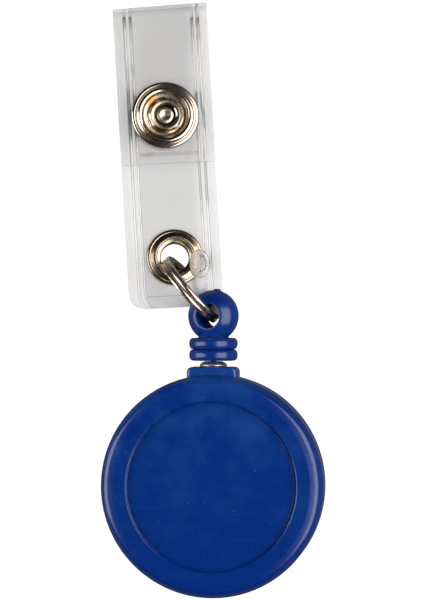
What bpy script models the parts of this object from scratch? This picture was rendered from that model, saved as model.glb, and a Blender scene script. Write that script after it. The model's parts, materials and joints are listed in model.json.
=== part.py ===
"""Retractable badge reel, lying on its back with its cord wound in.

Z is up and the belt clip's tongue rests on z = 0. The reel's axis is the Z axis, and the cord leaves
the case along +Y. Each piece is one object in metres, at its real place.
"""

import math

import bmesh
import bpy
from mathutils import Euler, Matrix, Vector

MM = 0.001
TAU = 2 * math.pi

# Clearances
SEAT = 0.05 * MM  # between pieces that are fastened together
RUN = 0.10 * MM  # between a turning piece and what it turns in
SIDE_PLAY = 0.20 * MM  # end play of the spool between the two covers

# Belt clip: one bent strip of spring steel
CLIP_THICKNESS = 0.7 * MM
CLIP_WIDTH = 9.0 * MM
CLIP_GAP = 2.2 * MM  # room for a belt edge or a pocket hem
CLIP_BEND_Y = -12.4 * MM  # where the bend starts
CLIP_LEG_END_Y = 10.0 * MM
CLIP_TONGUE_FLAT_END_Y = 7.5 * MM
CLIP_TONGUE_END_Y = 12.6 * MM
CLIP_BUMP_REACH = 0.8  # share of the gap that the grip bump closes
RIVET_HEAD_RADIUS = 2.6 * MM
RIVET_HEAD_HEIGHT = 0.5 * MM
RIVET_SHANK_RADIUS = 1.2 * MM
RIVET_BORE_RADIUS = 0.6 * MM
RIVET_LENGTH = 2.2 * MM  # from the head into the case

# Case
CASE_RADIUS = 16.0 * MM
CASE_THICKNESS = 8.4 * MM
CASE_EDGE_FILLET = 1.25 * MM
CASE_WALL = 1.4 * MM
CASE_FLOOR = 1.2 * MM
FRONT_WALL = 1.0 * MM
RIM_WIDTH = 3.8 * MM  # from the label seat to the edge of the case
LABEL_SEAT_DEPTH = 0.7 * MM
LIP_WIDTH = 0.55 * MM  # ring on the back cover that locates the front cover
LIP_HEIGHT = 0.8 * MM
ARBOR_RADIUS = 2.0 * MM
ARBOR_SOCKET_DEPTH = 0.4 * MM
ARBOR_SLOT_WIDTH = 0.45 * MM
ARBOR_WEB = 0.3 * MM  # between the rivet's bore and the spring's slot

# Collar and eyelet where the cord comes out
COLLAR_WIDTH = 7.3 * MM
COLLAR_STANDOFF = 1.1 * MM
COLLAR_DEPTH = 5.5 * MM
COLLAR_CORNER = 0.7 * MM
CHANNEL_RADIUS = 1.0 * MM
CHANNEL_FLARE_RADIUS = 2.3 * MM
EYELET_FLANGE_RADIUS = 2.0 * MM
EYELET_FLANGE_HEIGHT = 0.75 * MM
EYELET_BARREL_RADIUS = 1.4 * MM
EYELET_BORE_CLEARANCE = 0.5 * MM
EYELET_BARREL_LENGTH = 1.4 * MM

# Spool and mainspring
SPOOL_FLANGE = 0.7 * MM
SPOOL_FLANGE_GAP = 0.5 * MM  # between the flange and the case wall
CORD_ROOM = 4.6 * MM  # from the drum to the case wall
DRUM_WALL = 0.8 * MM
SPRING_COVER_THICKNESS = 0.35 * MM
SPRING_COVER_STEP = 0.4 * MM
SPRING_THICKNESS = 0.12 * MM
SPRING_PLAY = 0.25 * MM  # between the spring and the spool's web
SPRING_TURNS = 7
SPRING_STEPS = 18  # per turn

# Cord
CORD_RADIUS = 0.4 * MM
CORD_WOUND_DEPTH = 2.1 * MM
CORD_BORE_CLEARANCE = 0.15 * MM
KNOT_SIZE = 2.125  # of the cord's radius

# Stopper: two rings, a neck and a bead with a cross bore
STOPPER_GAP = 0.07 * MM
STOPPER_RING_RADIUS = 3.5 * MM
STOPPER_RING_HEIGHT = 1.65 * MM
STOPPER_RING_EDGE = 0.45 * MM
STOPPER_WAIST_RADIUS = 3.0 * MM
STOPPER_NECK_RADIUS = 2.05 * MM
BEAD_RADIUS = 3.72 * MM
BEAD_HALF_DEPTH = 3.0 * MM  # the bead is a little flat along its bore
BEAD_NECK_LENGTH = 3.17 * MM  # from the upper ring to the bead's centre
BEAD_BORE_RADIUS = 1.75 * MM
BEAD_SWIVEL = math.radians(-15)

# Split ring: two coils of flat wire
RING_RADIUS = 5.8 * MM
RING_WIRE_DEPTH = 1.2 * MM
RING_WIRE_WIDTH = 0.72 * MM
RING_COIL_GAP = 0.05 * MM
RING_STEPS = 36  # per turn
RING_HEADING = math.radians(40)  # left of +Y
RING_CLIMB = math.radians(-9.0)
RING_LEAN = math.radians(4.6)
RING_SWAY = 0.25 * MM  # room for the ring to tilt in the bead's bore
RING_SIDE = -0.02 * MM  # the ring's centre beside the bead's, along the ring's axis

# Vinyl strap. Its frame lies at the grommet, on the back part's middle plane.
VINYL = 0.5 * MM
STRAP_WIDTH = 13.7 * MM
STRAP_CORNER = 2.3 * MM
STRAP_TAIL = 7.25 * MM  # from the grommet to the end of the strap
STRAP_LENGTH = 44.15 * MM  # from the end of the strap to the fold
FLAP_MARGIN = 6.95 * MM  # from the snap's centre to the flap's end
GROMMET_ON_WIRE = Vector((0.34, -1.53, 0.79)) * MM  # grommet from the ring's wire, in the ring's frame
STRAP_YAW = math.radians(3.9)
STRAP_PITCH = math.radians(-5.7)
STRAP_ROLL = math.radians(9.0)
GROMMET_OFFSET = 0.14 * MM  # of the grommet from the strap's middle line

# Grommet
GROMMET_HOLE_RADIUS = 2.05 * MM
GROMMET_WALL = 0.32 * MM
GROMMET_FLANGE_RADIUS = 4.1 * MM
GROMMET_FLANGE_HEIGHT = 0.68 * MM
GROMMET_WASHER = 0.35 * MM
GROMMET_LIP_RADIUS = 2.95 * MM
GROMMET_LIP_HEIGHT = 0.34 * MM

# Clear button beside the grommet
BUTTON_HALF_WIDTH = 1.5 * MM
BUTTON_HALF_LENGTH = 2.15 * MM
BUTTON_HEIGHT = 0.9 * MM
BUTTON_EDGE = 0.15 * MM  # height of its rim under the dome
BUTTON_FOOT = 0.94  # of the foot's size to the rim's
BUTTON_STEM_RADIUS = 0.45 * MM
BUTTON_OVERLAP = 0.6 * MM  # of the button's middle inside the grommet's edge
BUTTON_Y = -1.2 * MM
BUTTON_STEM_SHIFT = 0.95 * MM

# Snap fastener
SNAP_FROM_FOLD = 16.5 * MM
SNAP_SIDE = -0.38 * MM
SNAP_RING_RADIUS = 4.95 * MM
SNAP_RING_HEIGHT = 1.05 * MM
SNAP_BOSS_RADIUS = 2.5 * MM
SNAP_WELL_RADIUS = 1.5 * MM
SNAP_BARREL_RADIUS = 2.05 * MM
SOCKET_RADIUS = 3.9 * MM
SOCKET_HEIGHT = 1.5 * MM
SOCKET_STEP = 0.9 * MM  # from its lower face to the seat of the front ring's barrel
STUD_FLANGE_RADIUS = 3.6 * MM
STUD_FLANGE_HEIGHT = 0.45 * MM
STUD_BODY_RADIUS = 1.62 * MM
STUD_HEAD_RADIUS = 1.2 * MM
STUD_BORE_RADIUS = 0.85 * MM
CAP_RADIUS = 4.6 * MM
CAP_HEIGHT = 0.85 * MM

# Places that follow from the sizes above
CLIP_LEG_Z = CLIP_THICKNESS + CLIP_GAP
CASE_BACK_Z = CLIP_LEG_Z + CLIP_THICKNESS + SEAT
CASE_FRONT_Z = CASE_BACK_Z + CASE_THICKNESS
PARTING_Z = (CASE_BACK_Z + CASE_FRONT_Z) / 2
FLOOR_Z = CASE_BACK_Z + CASE_FLOOR
LABEL_SEAT_Z = CASE_FRONT_Z - LABEL_SEAT_DEPTH
CEILING_Z = LABEL_SEAT_Z - FRONT_WALL
CHAMBER_RADIUS = CASE_RADIUS - CASE_WALL
LABEL_SEAT_RADIUS = CASE_RADIUS - RIM_WIDTH
COLLAR_TOP_Y = CASE_RADIUS + COLLAR_STANDOFF
EYELET_BORE_RADIUS = CORD_RADIUS + EYELET_BORE_CLEARANCE
STOPPER_CORD_BORE_RADIUS = CORD_RADIUS + CORD_BORE_CLEARANCE
KNOT_RADIUS = CORD_RADIUS * KNOT_SIZE
DRUM_RADIUS = CHAMBER_RADIUS - CORD_ROOM
SPOOL_LOW_Z = FLOOR_Z + SIDE_PLAY
SPOOL_HIGH_Z = CEILING_Z - SIDE_PLAY
SPRING_CHAMBER_RADIUS = DRUM_RADIUS - DRUM_WALL
SPRING_LOW_Z = SPOOL_LOW_Z + SPRING_COVER_THICKNESS + SPRING_COVER_STEP
SPRING_HIGH_Z = SPOOL_HIGH_Z - SPOOL_FLANGE - SPRING_PLAY
RIVET_HOLE_RADIUS = RIVET_SHANK_RADIUS + SEAT
RIVET_TOP_Z = CLIP_LEG_Z - SEAT + RIVET_LENGTH
ARBOR_SLOT_Z = RIVET_TOP_Z + SEAT + ARBOR_WEB
STOPPER_START_Y = COLLAR_TOP_Y + SEAT + EYELET_FLANGE_HEIGHT + STOPPER_GAP
STOPPER_RINGS_END_Y = STOPPER_START_Y + 2 * STOPPER_RING_HEIGHT
BEAD_CENTRE = Vector((0, STOPPER_RINGS_END_Y + BEAD_NECK_LENGTH, PARTING_Z))
KNOT_Y = BEAD_CENTRE.y - BEAD_BORE_RADIUS - KNOT_RADIUS
RING_WIRE_LINE = RING_RADIUS - RING_WIRE_DEPTH / 2
RING_HALF_WIDTH = RING_WIRE_WIDTH + RING_COIL_GAP / 2
FLAP_Z = VINYL + STUD_FLANGE_HEIGHT + SOCKET_HEIGHT + 4 * SEAT  # middle plane of the flap
FOLD_RADIUS = (FLAP_Z + VINYL) / 2
FOLD_CENTRE_Y = STRAP_LENGTH - STRAP_TAIL - FOLD_RADIUS
SNAP_Y = STRAP_LENGTH - STRAP_TAIL - SNAP_FROM_FOLD
STRAP_LEFT = -STRAP_WIDTH / 2 - GROMMET_OFFSET
STRAP_RIGHT = STRAP_LEFT + STRAP_WIDTH


def material(name, colour, metallic=0.0, roughness=0.4, alpha=1.0):
    """A Principled material with one colour."""
    made = bpy.data.materials.new(name)
    made.use_nodes = True
    shader = made.node_tree.nodes["Principled BSDF"]
    shader.inputs["Base Color"].default_value = (*colour, 1.0)
    shader.inputs["Metallic"].default_value = metallic
    shader.inputs["Roughness"].default_value = roughness
    shader.inputs["Alpha"].default_value = alpha
    return made


def object_of(name, bm, finish=None):
    """An object of this mesh, smooth but for its sharp edges."""
    bmesh.ops.remove_doubles(bm, verts=bm.verts, dist=1e-7)
    bmesh.ops.recalc_face_normals(bm, faces=bm.faces)
    mesh = bpy.data.meshes.new(name)
    bm.to_mesh(mesh)
    bm.free()
    mesh.shade_smooth()
    mesh.set_sharp_from_angle(angle=math.radians(35))
    made = bpy.data.objects.new(name, mesh)
    bpy.context.scene.collection.objects.link(made)
    if finish:
        mesh.materials.append(finish)
    return made


def frame_at(location, rotation=None):
    """The matrix of a frame at this place, turned by a matrix or by Euler angles."""
    if rotation is None:
        turn = Matrix.Identity(4)
    else:
        turn = rotation.to_matrix().to_4x4() if isinstance(rotation, Euler) else rotation.to_4x4()
    return Matrix.Translation(location) @ turn


def pivot(name, frame, parent=None):
    """An empty that holds the pieces of one moving group, with its origin on the joint's axis."""
    made = bpy.data.objects.new(name, None)
    made.empty_display_size = 2 * MM
    bpy.context.scene.collection.objects.link(made)
    hang(made, frame, parent)
    return made


def hang(piece, frame, parent=None):
    """Puts a piece at a world frame, under a parent."""
    bpy.context.view_layer.update()
    piece.parent = parent
    if parent:
        piece.matrix_parent_inverse = parent.matrix_world.inverted()
    piece.matrix_basis = frame
    bpy.context.view_layer.update()


def turned(profile, steps=48):
    """(Radius, height) points spun round the Z axis. The profile is closed unless it ends on the axis."""
    bm = bmesh.new()
    points = [bm.verts.new((radius, 0, height)) for radius, height in profile]
    edges = [bm.edges.new(pair) for pair in zip(points, points[1:])]
    if profile[0][0] > 0:
        edges.append(bm.edges.new((points[-1], points[0])))
    bmesh.ops.spin(
        bm, geom=points + edges, cent=(0, 0, 0), axis=(0, 0, 1), angle=TAU, steps=steps, use_merge=True
    )
    return bm


def arc(centre, radius, start, end, steps):
    """Points on an arc in the (radius, height) plane, from one angle in degrees to another."""
    angles = [math.radians(start + (end - start) * i / steps) for i in range(steps + 1)]
    return [(centre[0] + radius * math.cos(a), centre[1] + radius * math.sin(a)) for a in angles]


def prism(outline, low, high):
    """A flat outline of (x, y) points pulled from one height to another."""
    bm = bmesh.new()
    face = bm.faces.new([bm.verts.new((x, y, low)) for x, y in outline])
    pulled = bmesh.ops.extrude_face_region(bm, geom=[face])
    raised = [item for item in pulled["geom"] if isinstance(item, bmesh.types.BMVert)]
    bmesh.ops.translate(bm, verts=raised, vec=(0, 0, high - low))
    return bm


def cylinder(radius, low, high, steps=32):
    """A round bar on the Z axis."""
    return turned([(0, low), (radius, low), (radius, high), (0, high)], steps)


def combined(piece, other, operation):
    """Adds or removes a helper shape with an exact Boolean, and hides the helper."""
    modifier = piece.modifiers.new(other.name, "BOOLEAN")
    modifier.operation = operation
    modifier.object = other
    modifier.solver = "EXACT"
    other.hide_render = True
    other.display_type = "WIRE"


def cut(piece, cutter):
    """Removes a helper shape from a piece."""
    combined(piece, cutter, "DIFFERENCE")


def joined(piece, other):
    """Adds a helper shape to a piece."""
    combined(piece, other, "UNION")


def along_y(piece, y=0.0, z=0.0, parent=None):
    """Turns a piece made on the Z axis so that it runs along +Y, and puts it there."""
    hang(piece, frame_at((0, y, z), Euler((math.radians(-90), 0, 0))), parent)


# Belt clip


def strip_outline(middle, thickness, start_along):
    """The closed outline of a bent strip, from its middle line's points and its direction at the start."""
    sides = ([], [])
    for i, (x, y) in enumerate(middle):
        before = Vector(middle[max(i - 1, 0)])
        after = Vector(middle[min(i + 1, len(middle) - 1)])
        along = (after - before).normalized() if i else Vector(start_along)
        normal = Vector((-along.y, along.x)) * thickness / 2
        sides[0].append((x + normal.x, y + normal.y))
        sides[1].append((x - normal.x, y - normal.y))
    return sides[0] + sides[1][::-1]


def clip_strip(name, side, middle, finish):
    """A clip leg: a strip bent in the YZ plane and as wide as the clip."""
    half = CLIP_WIDTH / 2
    outline = strip_outline(clip_bend(side) + middle, CLIP_THICKNESS, (0, side))
    strip = object_of(name, prism(outline, -half, half), finish)
    strip.data.transform(Matrix(((0, 0, 1, 0), (1, 0, 0, 0), (0, 1, 0, 0), (0, 0, 0, 1))))
    return strip


def clip_bend(side):
    """Middle-line points of one half of the bend: side 1 is the case's, -1 the tongue's."""
    radius = (CLIP_GAP + CLIP_THICKNESS) / 2
    centre_z = CLIP_THICKNESS / 2 + radius
    gap_angle = math.degrees(SEAT / 2 / radius)
    return arc((CLIP_BEND_Y, centre_z), radius, 180 - side * gap_angle, 180 - side * 90, 6)


def build_clip(steel, nickel):
    """The riveted leg, the sprung tongue and the tubular rivet."""
    leg_z = CLIP_LEG_Z + CLIP_THICKNESS / 2
    leg = clip_strip("belt_clip_leg", 1, [(CLIP_LEG_END_Y, leg_z)], steel)
    hole = object_of("rivet_hole", cylinder(RIVET_HOLE_RADIUS, CLIP_LEG_Z - MM, CASE_BACK_Z, 24))
    cut(leg, hole)

    flat_z = CLIP_THICKNESS / 2
    bump_z = flat_z + CLIP_GAP * CLIP_BUMP_REACH
    run = CLIP_TONGUE_END_Y - CLIP_TONGUE_FLAT_END_Y
    middle = [(CLIP_TONGUE_FLAT_END_Y, flat_z)]
    for share, height in ((0.25, 0.45), (0.5, 0.92), (0.62, 1.0), (0.74, 0.92), (1.0, 0.35)):
        middle.append((CLIP_TONGUE_FLAT_END_Y + run * share, flat_z + (bump_z - flat_z) * height))
    tongue = clip_strip("belt_clip_tongue", -1, middle, steel)
    bend_y = CLIP_BEND_Y - (CLIP_GAP + 2 * CLIP_THICKNESS) / 2
    bend = Vector((0, bend_y, CLIP_THICKNESS + CLIP_GAP / 2))
    tongue.data.transform(Matrix.Translation(-bend))
    hang(tongue, frame_at(bend))

    head_high = CLIP_LEG_Z - SEAT
    head_low = head_high - RIVET_HEAD_HEIGHT
    profile = [
        (RIVET_BORE_RADIUS, head_low),
        (RIVET_HEAD_RADIUS * 0.8, head_low),
        (RIVET_HEAD_RADIUS, head_low + RIVET_HEAD_HEIGHT * 0.6),
        (RIVET_HEAD_RADIUS, head_high),
        (RIVET_SHANK_RADIUS, head_high),
        (RIVET_SHANK_RADIUS, RIVET_TOP_Z),
        (RIVET_BORE_RADIUS, RIVET_TOP_Z),
    ]
    object_of("clip_rivet", turned(profile, 24), nickel)


# Case


def collar_block(name, low, high):
    """One half of the block that carries the eyelet, rounded at its outer corners."""
    half = COLLAR_WIDTH / 2
    inner_y = CHAMBER_RADIUS + LIP_WIDTH + 2 * SEAT
    corner_y = COLLAR_TOP_Y - COLLAR_CORNER
    corner_x = half - COLLAR_CORNER
    right = arc((corner_x, corner_y), COLLAR_CORNER, 0, 90, 4)
    left = arc((-corner_x, corner_y), COLLAR_CORNER, 90, 180, 4)
    return object_of(name, prism([(-half, inner_y), (half, inner_y)] + right + left, low, high))


def cord_channel():
    """The cutter for the cord's way out: a flare inside, a bore, and a seat for the eyelet."""
    flare_y = CHAMBER_RADIUS - 0.6 * MM
    bore_y = flare_y + 1.7 * MM
    seat_y = COLLAR_TOP_Y - EYELET_BARREL_LENGTH - SEAT
    profile = [
        (0, flare_y),
        (CHANNEL_FLARE_RADIUS, flare_y),
        (CHANNEL_RADIUS, min(bore_y, seat_y - 0.02 * MM)),
        (EYELET_BARREL_RADIUS + SEAT, seat_y),
        (EYELET_BARREL_RADIUS + SEAT, COLLAR_TOP_Y + MM),
        (0, COLLAR_TOP_Y + MM),
    ]
    channel = object_of("cord_channel", turned(profile, 24))
    along_y(channel, z=PARTING_Z)
    return channel


def build_case(blue, channel):
    """The two covers. The back one carries the arbor, and its lip locates the front one."""
    lip_radius = CHAMBER_RADIUS + LIP_WIDTH
    blind_z = RIVET_TOP_Z + SEAT
    fillet_r = CASE_RADIUS - CASE_EDGE_FILLET
    profile = [(0, blind_z), (RIVET_HOLE_RADIUS, blind_z), (RIVET_HOLE_RADIUS, CASE_BACK_Z)]
    profile += arc((fillet_r, CASE_BACK_Z + CASE_EDGE_FILLET), CASE_EDGE_FILLET, -90, 0, 4)
    profile += [
        (CASE_RADIUS, PARTING_Z),
        (lip_radius, PARTING_Z),
        (lip_radius, PARTING_Z + LIP_HEIGHT),
        (CHAMBER_RADIUS, PARTING_Z + LIP_HEIGHT),
        (CHAMBER_RADIUS, FLOOR_Z),
        (ARBOR_RADIUS, FLOOR_Z),
        (ARBOR_RADIUS, CEILING_Z + ARBOR_SOCKET_DEPTH - SIDE_PLAY),
        (0, CEILING_Z + ARBOR_SOCKET_DEPTH - SIDE_PLAY),
    ]
    back = object_of("back_cover", turned(profile, 44), blue)
    joined(back, collar_block("back_collar", PARTING_Z - COLLAR_DEPTH / 2, PARTING_Z))
    cut(back, channel)
    reach = ARBOR_RADIUS + MM
    half = ARBOR_SLOT_WIDTH / 2
    slot = [(-reach, -half), (reach, -half), (reach, half), (-reach, half)]
    cut(back, object_of("arbor_slot", prism(slot, ARBOR_SLOT_Z, CASE_FRONT_Z)))

    low = PARTING_Z + SEAT
    profile = [
        (0, CEILING_Z + ARBOR_SOCKET_DEPTH),
        (ARBOR_RADIUS + SEAT, CEILING_Z + ARBOR_SOCKET_DEPTH),
        (ARBOR_RADIUS + SEAT, CEILING_Z),
        (CHAMBER_RADIUS, CEILING_Z),
        (CHAMBER_RADIUS, low + LIP_HEIGHT),
        (lip_radius + SEAT, low + LIP_HEIGHT),
        (lip_radius + SEAT, low),
        (CASE_RADIUS, low),
    ]
    profile += arc((fillet_r, CASE_FRONT_Z - CASE_EDGE_FILLET), CASE_EDGE_FILLET, 0, 90, 4)
    profile += [(LABEL_SEAT_RADIUS, CASE_FRONT_Z), (LABEL_SEAT_RADIUS, LABEL_SEAT_Z), (0, LABEL_SEAT_Z)]
    front = object_of("front_cover", turned(profile, 44), blue)
    joined(front, collar_block("front_collar", low, PARTING_Z + COLLAR_DEPTH / 2))
    cut(front, channel)


def build_eyelet(nickel):
    """The turned metal eyelet in the collar."""
    start = COLLAR_TOP_Y - EYELET_BARREL_LENGTH
    flange = COLLAR_TOP_Y + SEAT
    end = flange + EYELET_FLANGE_HEIGHT
    profile = [
        (EYELET_BORE_RADIUS, start),
        (EYELET_BARREL_RADIUS, start),
        (EYELET_BARREL_RADIUS, flange),
        (EYELET_FLANGE_RADIUS, flange),
        (EYELET_FLANGE_RADIUS, flange + EYELET_FLANGE_HEIGHT * 0.55),
        (EYELET_FLANGE_RADIUS - 0.3 * MM, end),
        (EYELET_BORE_RADIUS + 0.25 * MM, end),
        (EYELET_BORE_RADIUS, end - 0.25 * MM),
    ]
    along_y(object_of("cord_eyelet", turned(profile, 24), nickel), z=PARTING_Z)


# Spool


def build_spool(white, steel, blue_cord):
    """The spool with its spring cover, the mainspring and the wound cord, turning on the arbor."""
    axle = pivot("spool_axis", frame_at((0, 0, PARTING_Z)))
    flange_radius = CHAMBER_RADIUS - SPOOL_FLANGE_GAP
    web_z = SPOOL_HIGH_Z - SPOOL_FLANGE
    step_radius = SPRING_CHAMBER_RADIUS + SPRING_COVER_STEP
    step_z = SPOOL_LOW_Z + SPRING_COVER_THICKNESS + SEAT
    bore = ARBOR_RADIUS + RUN
    profile = [
        (bore, web_z),
        (SPRING_CHAMBER_RADIUS, web_z),
        (SPRING_CHAMBER_RADIUS, step_z),
        (step_radius, step_z),
        (step_radius, SPOOL_LOW_Z),
        (flange_radius, SPOOL_LOW_Z),
        (flange_radius, SPOOL_LOW_Z + SPOOL_FLANGE),
        (DRUM_RADIUS, SPOOL_LOW_Z + SPOOL_FLANGE),
        (DRUM_RADIUS, web_z),
        (flange_radius, web_z),
        (flange_radius, SPOOL_HIGH_Z),
        (bore, SPOOL_HIGH_Z),
    ]
    hang(object_of("spool", turned(profile, 40), white), Matrix.Identity(4), axle)

    inner = ARBOR_RADIUS + 3 * RUN
    outer = step_radius - SEAT
    high = SPOOL_LOW_Z + SPRING_COVER_THICKNESS
    profile = [(inner, SPOOL_LOW_Z), (outer, SPOOL_LOW_Z), (outer, high), (inner, high)]
    hang(object_of("spring_cover", turned(profile, 40), white), Matrix.Identity(4), axle)

    low = SPOOL_LOW_Z + SPOOL_FLANGE + SEAT
    high = web_z - SEAT
    inner = DRUM_RADIUS + SEAT
    outer = DRUM_RADIUS + CORD_WOUND_DEPTH
    edge = CORD_RADIUS
    profile = [
        (inner, low),
        (outer - edge, low),
        (outer, low + edge),
        (outer, high - edge),
        (outer - edge, high),
        (inner, high),
    ]
    hang(object_of("cord_winding", turned(profile, 40), blue_cord), Matrix.Identity(4), axle)

    hang(object_of("mainspring", mainspring_mesh(), steel), Matrix.Identity(4), axle)


def mainspring_mesh():
    """A flat spiral: a straight inner end in the arbor's slot, then even turns out to the drum."""
    start = ARBOR_RADIUS + 4 * RUN
    end = SPRING_CHAMBER_RADIUS - RUN - SPRING_THICKNESS
    path = [(Vector((x, 0)), Vector((0, 1))) for x in (-ARBOR_RADIUS / 2, start)]
    steps = SPRING_TURNS * SPRING_STEPS
    for i in range(1, steps + 1):
        angle = TAU * i / SPRING_STEPS
        outward = Vector((math.cos(angle), math.sin(angle)))
        path.append((outward * (start + (end - start) * i / steps), -outward))
    bm = bmesh.new()
    loops = []
    for point, normal in path:
        side = normal * SPRING_THICKNESS / 2
        lower = [(point - side).to_3d(), (point + side).to_3d()]
        corners = [(p, SPRING_LOW_Z) for p in lower] + [(p, SPRING_HIGH_Z) for p in lower[::-1]]
        loops.append([bm.verts.new((p.x, p.y, z)) for p, z in corners])
    skin(bm, loops)
    return bm


def skin(bm, loops):
    """Joins equal rings of points one after the other and closes both ends."""
    count = len(loops[0])
    for first, second in zip(loops, loops[1:]):
        for i in range(count):
            bm.faces.new((first[i], first[(i + 1) % count], second[(i + 1) % count], second[i]))
    bm.faces.new(loops[0][::-1])
    bm.faces.new(loops[-1])


# Cord


def cord_run_points():
    """The middle line of the cord from the winding, through the eyelet, to the knot."""
    leaves = DRUM_RADIUS + CORD_WOUND_DEPTH + CORD_RADIUS + SEAT
    corner = Vector((0, COLLAR_TOP_Y - 2.1 * MM, PARTING_Z))
    turn = math.acos(leaves / corner.y)
    start = Vector((-leaves * math.sin(turn), leaves * math.cos(turn), PARTING_Z))
    bend_start = corner - (corner - start).normalized() * 1.8 * MM
    bend_end = corner + Vector((0, 1.8 * MM, 0))
    end = Vector((0, KNOT_Y - KNOT_RADIUS - SEAT, PARTING_Z))
    points = [start.lerp(bend_start, i / 3) for i in range(3)]
    for i in range(7):
        t = i / 6
        points.append(bend_start * (1 - t) ** 2 + corner * 2 * t * (1 - t) + bend_end * t**2)
    return points + [bend_end.lerp(end, i / 3) for i in range(1, 4)]


def build_cord(blue_cord):
    """The straight stretch of cord and its knot, on the slide that the stopper pulls."""
    slide = pivot("cord_pull_axis", frame_at((0, KNOT_Y, PARTING_Z)))
    curve = bpy.data.curves.new("cord_run", "CURVE")
    curve.dimensions = "3D"
    curve.bevel_depth = CORD_RADIUS
    curve.bevel_resolution = 2
    curve.use_fill_caps = True
    spline = curve.splines.new("POLY")
    points = cord_run_points()
    spline.points.add(len(points) - 1)
    for target, point in zip(spline.points, points):
        target.co = (*point, 1)
    curve.materials.append(blue_cord)
    run = bpy.data.objects.new("cord_run", curve)
    bpy.context.scene.collection.objects.link(run)
    hang(run, Matrix.Identity(4), slide)

    bm = bmesh.new()
    bmesh.ops.create_uvsphere(bm, u_segments=16, v_segments=10, radius=KNOT_RADIUS)
    hang(object_of("cord_knot", bm, blue_cord), frame_at((0, KNOT_Y, PARTING_Z)), slide)
    return slide


# Stopper


def build_stopper(blue, parent):
    """The stopper's moulding. Its cross bore holds the split ring."""
    turn = Matrix.Rotation(BEAD_SWIVEL, 4, "Y")
    axis = pivot("stopper_swivel_axis", Matrix.Translation(BEAD_CENTRE) @ turn, parent)
    start = STOPPER_START_Y - BEAD_CENTRE.y
    edge = STOPPER_RING_EDGE
    rim = STOPPER_RING_RADIUS - edge
    profile = [(0, start)]
    for i in range(2):
        low = start + i * STOPPER_RING_HEIGHT
        high = low + STOPPER_RING_HEIGHT
        profile.append((STOPPER_WAIST_RADIUS, low))
        profile += arc((rim, low + edge), edge, -70, 0, 3)
        profile += arc((rim, high - edge), edge, 0, 70, 3)
    profile += [
        (STOPPER_WAIST_RADIUS - 0.5 * MM, high),
        (STOPPER_NECK_RADIUS, high + 0.25 * MM),
        (STOPPER_NECK_RADIUS, -BEAD_RADIUS * 0.6),
        (0, -BEAD_RADIUS * 0.6),
    ]
    stem = object_of("stopper", turned(profile, 32), blue)
    stem.data.transform(Euler((math.radians(-90), 0, 0)).to_matrix().to_4x4())
    hang(stem, axis.matrix_world, axis)

    bm = bmesh.new()
    bmesh.ops.create_uvsphere(bm, u_segments=28, v_segments=14, radius=BEAD_RADIUS)
    bmesh.ops.scale(bm, vec=(1, 1, BEAD_HALF_DEPTH / BEAD_RADIUS), verts=bm.verts)
    bead = object_of("bead", bm)
    hang(bead, axis.matrix_world)
    joined(stem, bead)
    cross = object_of("cross_bore", cylinder(BEAD_BORE_RADIUS, -BEAD_RADIUS, BEAD_RADIUS, 28))
    hang(cross, axis.matrix_world)
    cut(stem, cross)

    seat = KNOT_Y - KNOT_RADIUS - BEAD_CENTRE.y - SEAT / 2
    profile = [
        (0, start - MM),
        (STOPPER_CORD_BORE_RADIUS, start - MM),
        (STOPPER_CORD_BORE_RADIUS, seat),
        (KNOT_RADIUS + RUN, seat),
        (KNOT_RADIUS + RUN, -BEAD_BORE_RADIUS * 0.5),
        (0, -BEAD_BORE_RADIUS * 0.5),
    ]
    bore = object_of("cord_bore", turned(profile, 20))
    bore.data.transform(Euler((math.radians(-90), 0, 0)).to_matrix().to_4x4())
    hang(bore, axis.matrix_world)
    cut(stem, bore)
    return axis


# Split ring


def ring_reach():
    """How far the ring's centre hangs from the bead's, with its wire on the mouths of the bore."""
    mouth = BEAD_HALF_DEPTH * math.sqrt(1 - (BEAD_BORE_RADIUS / BEAD_RADIUS) ** 2)
    wire_inside = math.sqrt((RING_RADIUS - RING_WIRE_DEPTH) ** 2 - mouth**2)
    return wire_inside + math.sqrt((BEAD_BORE_RADIUS - RING_SWAY) ** 2 - RING_HALF_WIDTH**2)


def ring_frame():
    """The ring's frame: X points from the bead to the grommet, Z is the ring's axis."""
    heading = Matrix.Rotation(RING_HEADING, 4, "Z")
    along = heading @ Vector((0, math.cos(RING_CLIMB), math.sin(RING_CLIMB)))
    side = Vector((along.y, -along.x, 0)).normalized()
    axis = (side + Vector((0, 0, 1)) * math.tan(RING_LEAN)).normalized()
    axis = (axis - along * axis.dot(along)).normalized()
    across = axis.cross(along)
    turn = Matrix((along, across, axis)).transposed().to_4x4()
    centre = BEAD_CENTRE + along * ring_reach() + axis * RING_SIDE
    return Matrix.Translation(centre) @ turn


def ring_section():
    """The rounded section of the flat wire, as (outward, sideways) points."""
    depth = RING_WIRE_DEPTH / 2
    width = RING_WIRE_WIDTH / 2
    bevel = 0.2 * MM
    quarter = [(depth, width - bevel), (depth - bevel, width)]
    mirrored = [(-x, y) for x, y in quarter[::-1]]
    upper = quarter + mirrored
    return upper + [(-x, -y) for x, y in upper]


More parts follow.
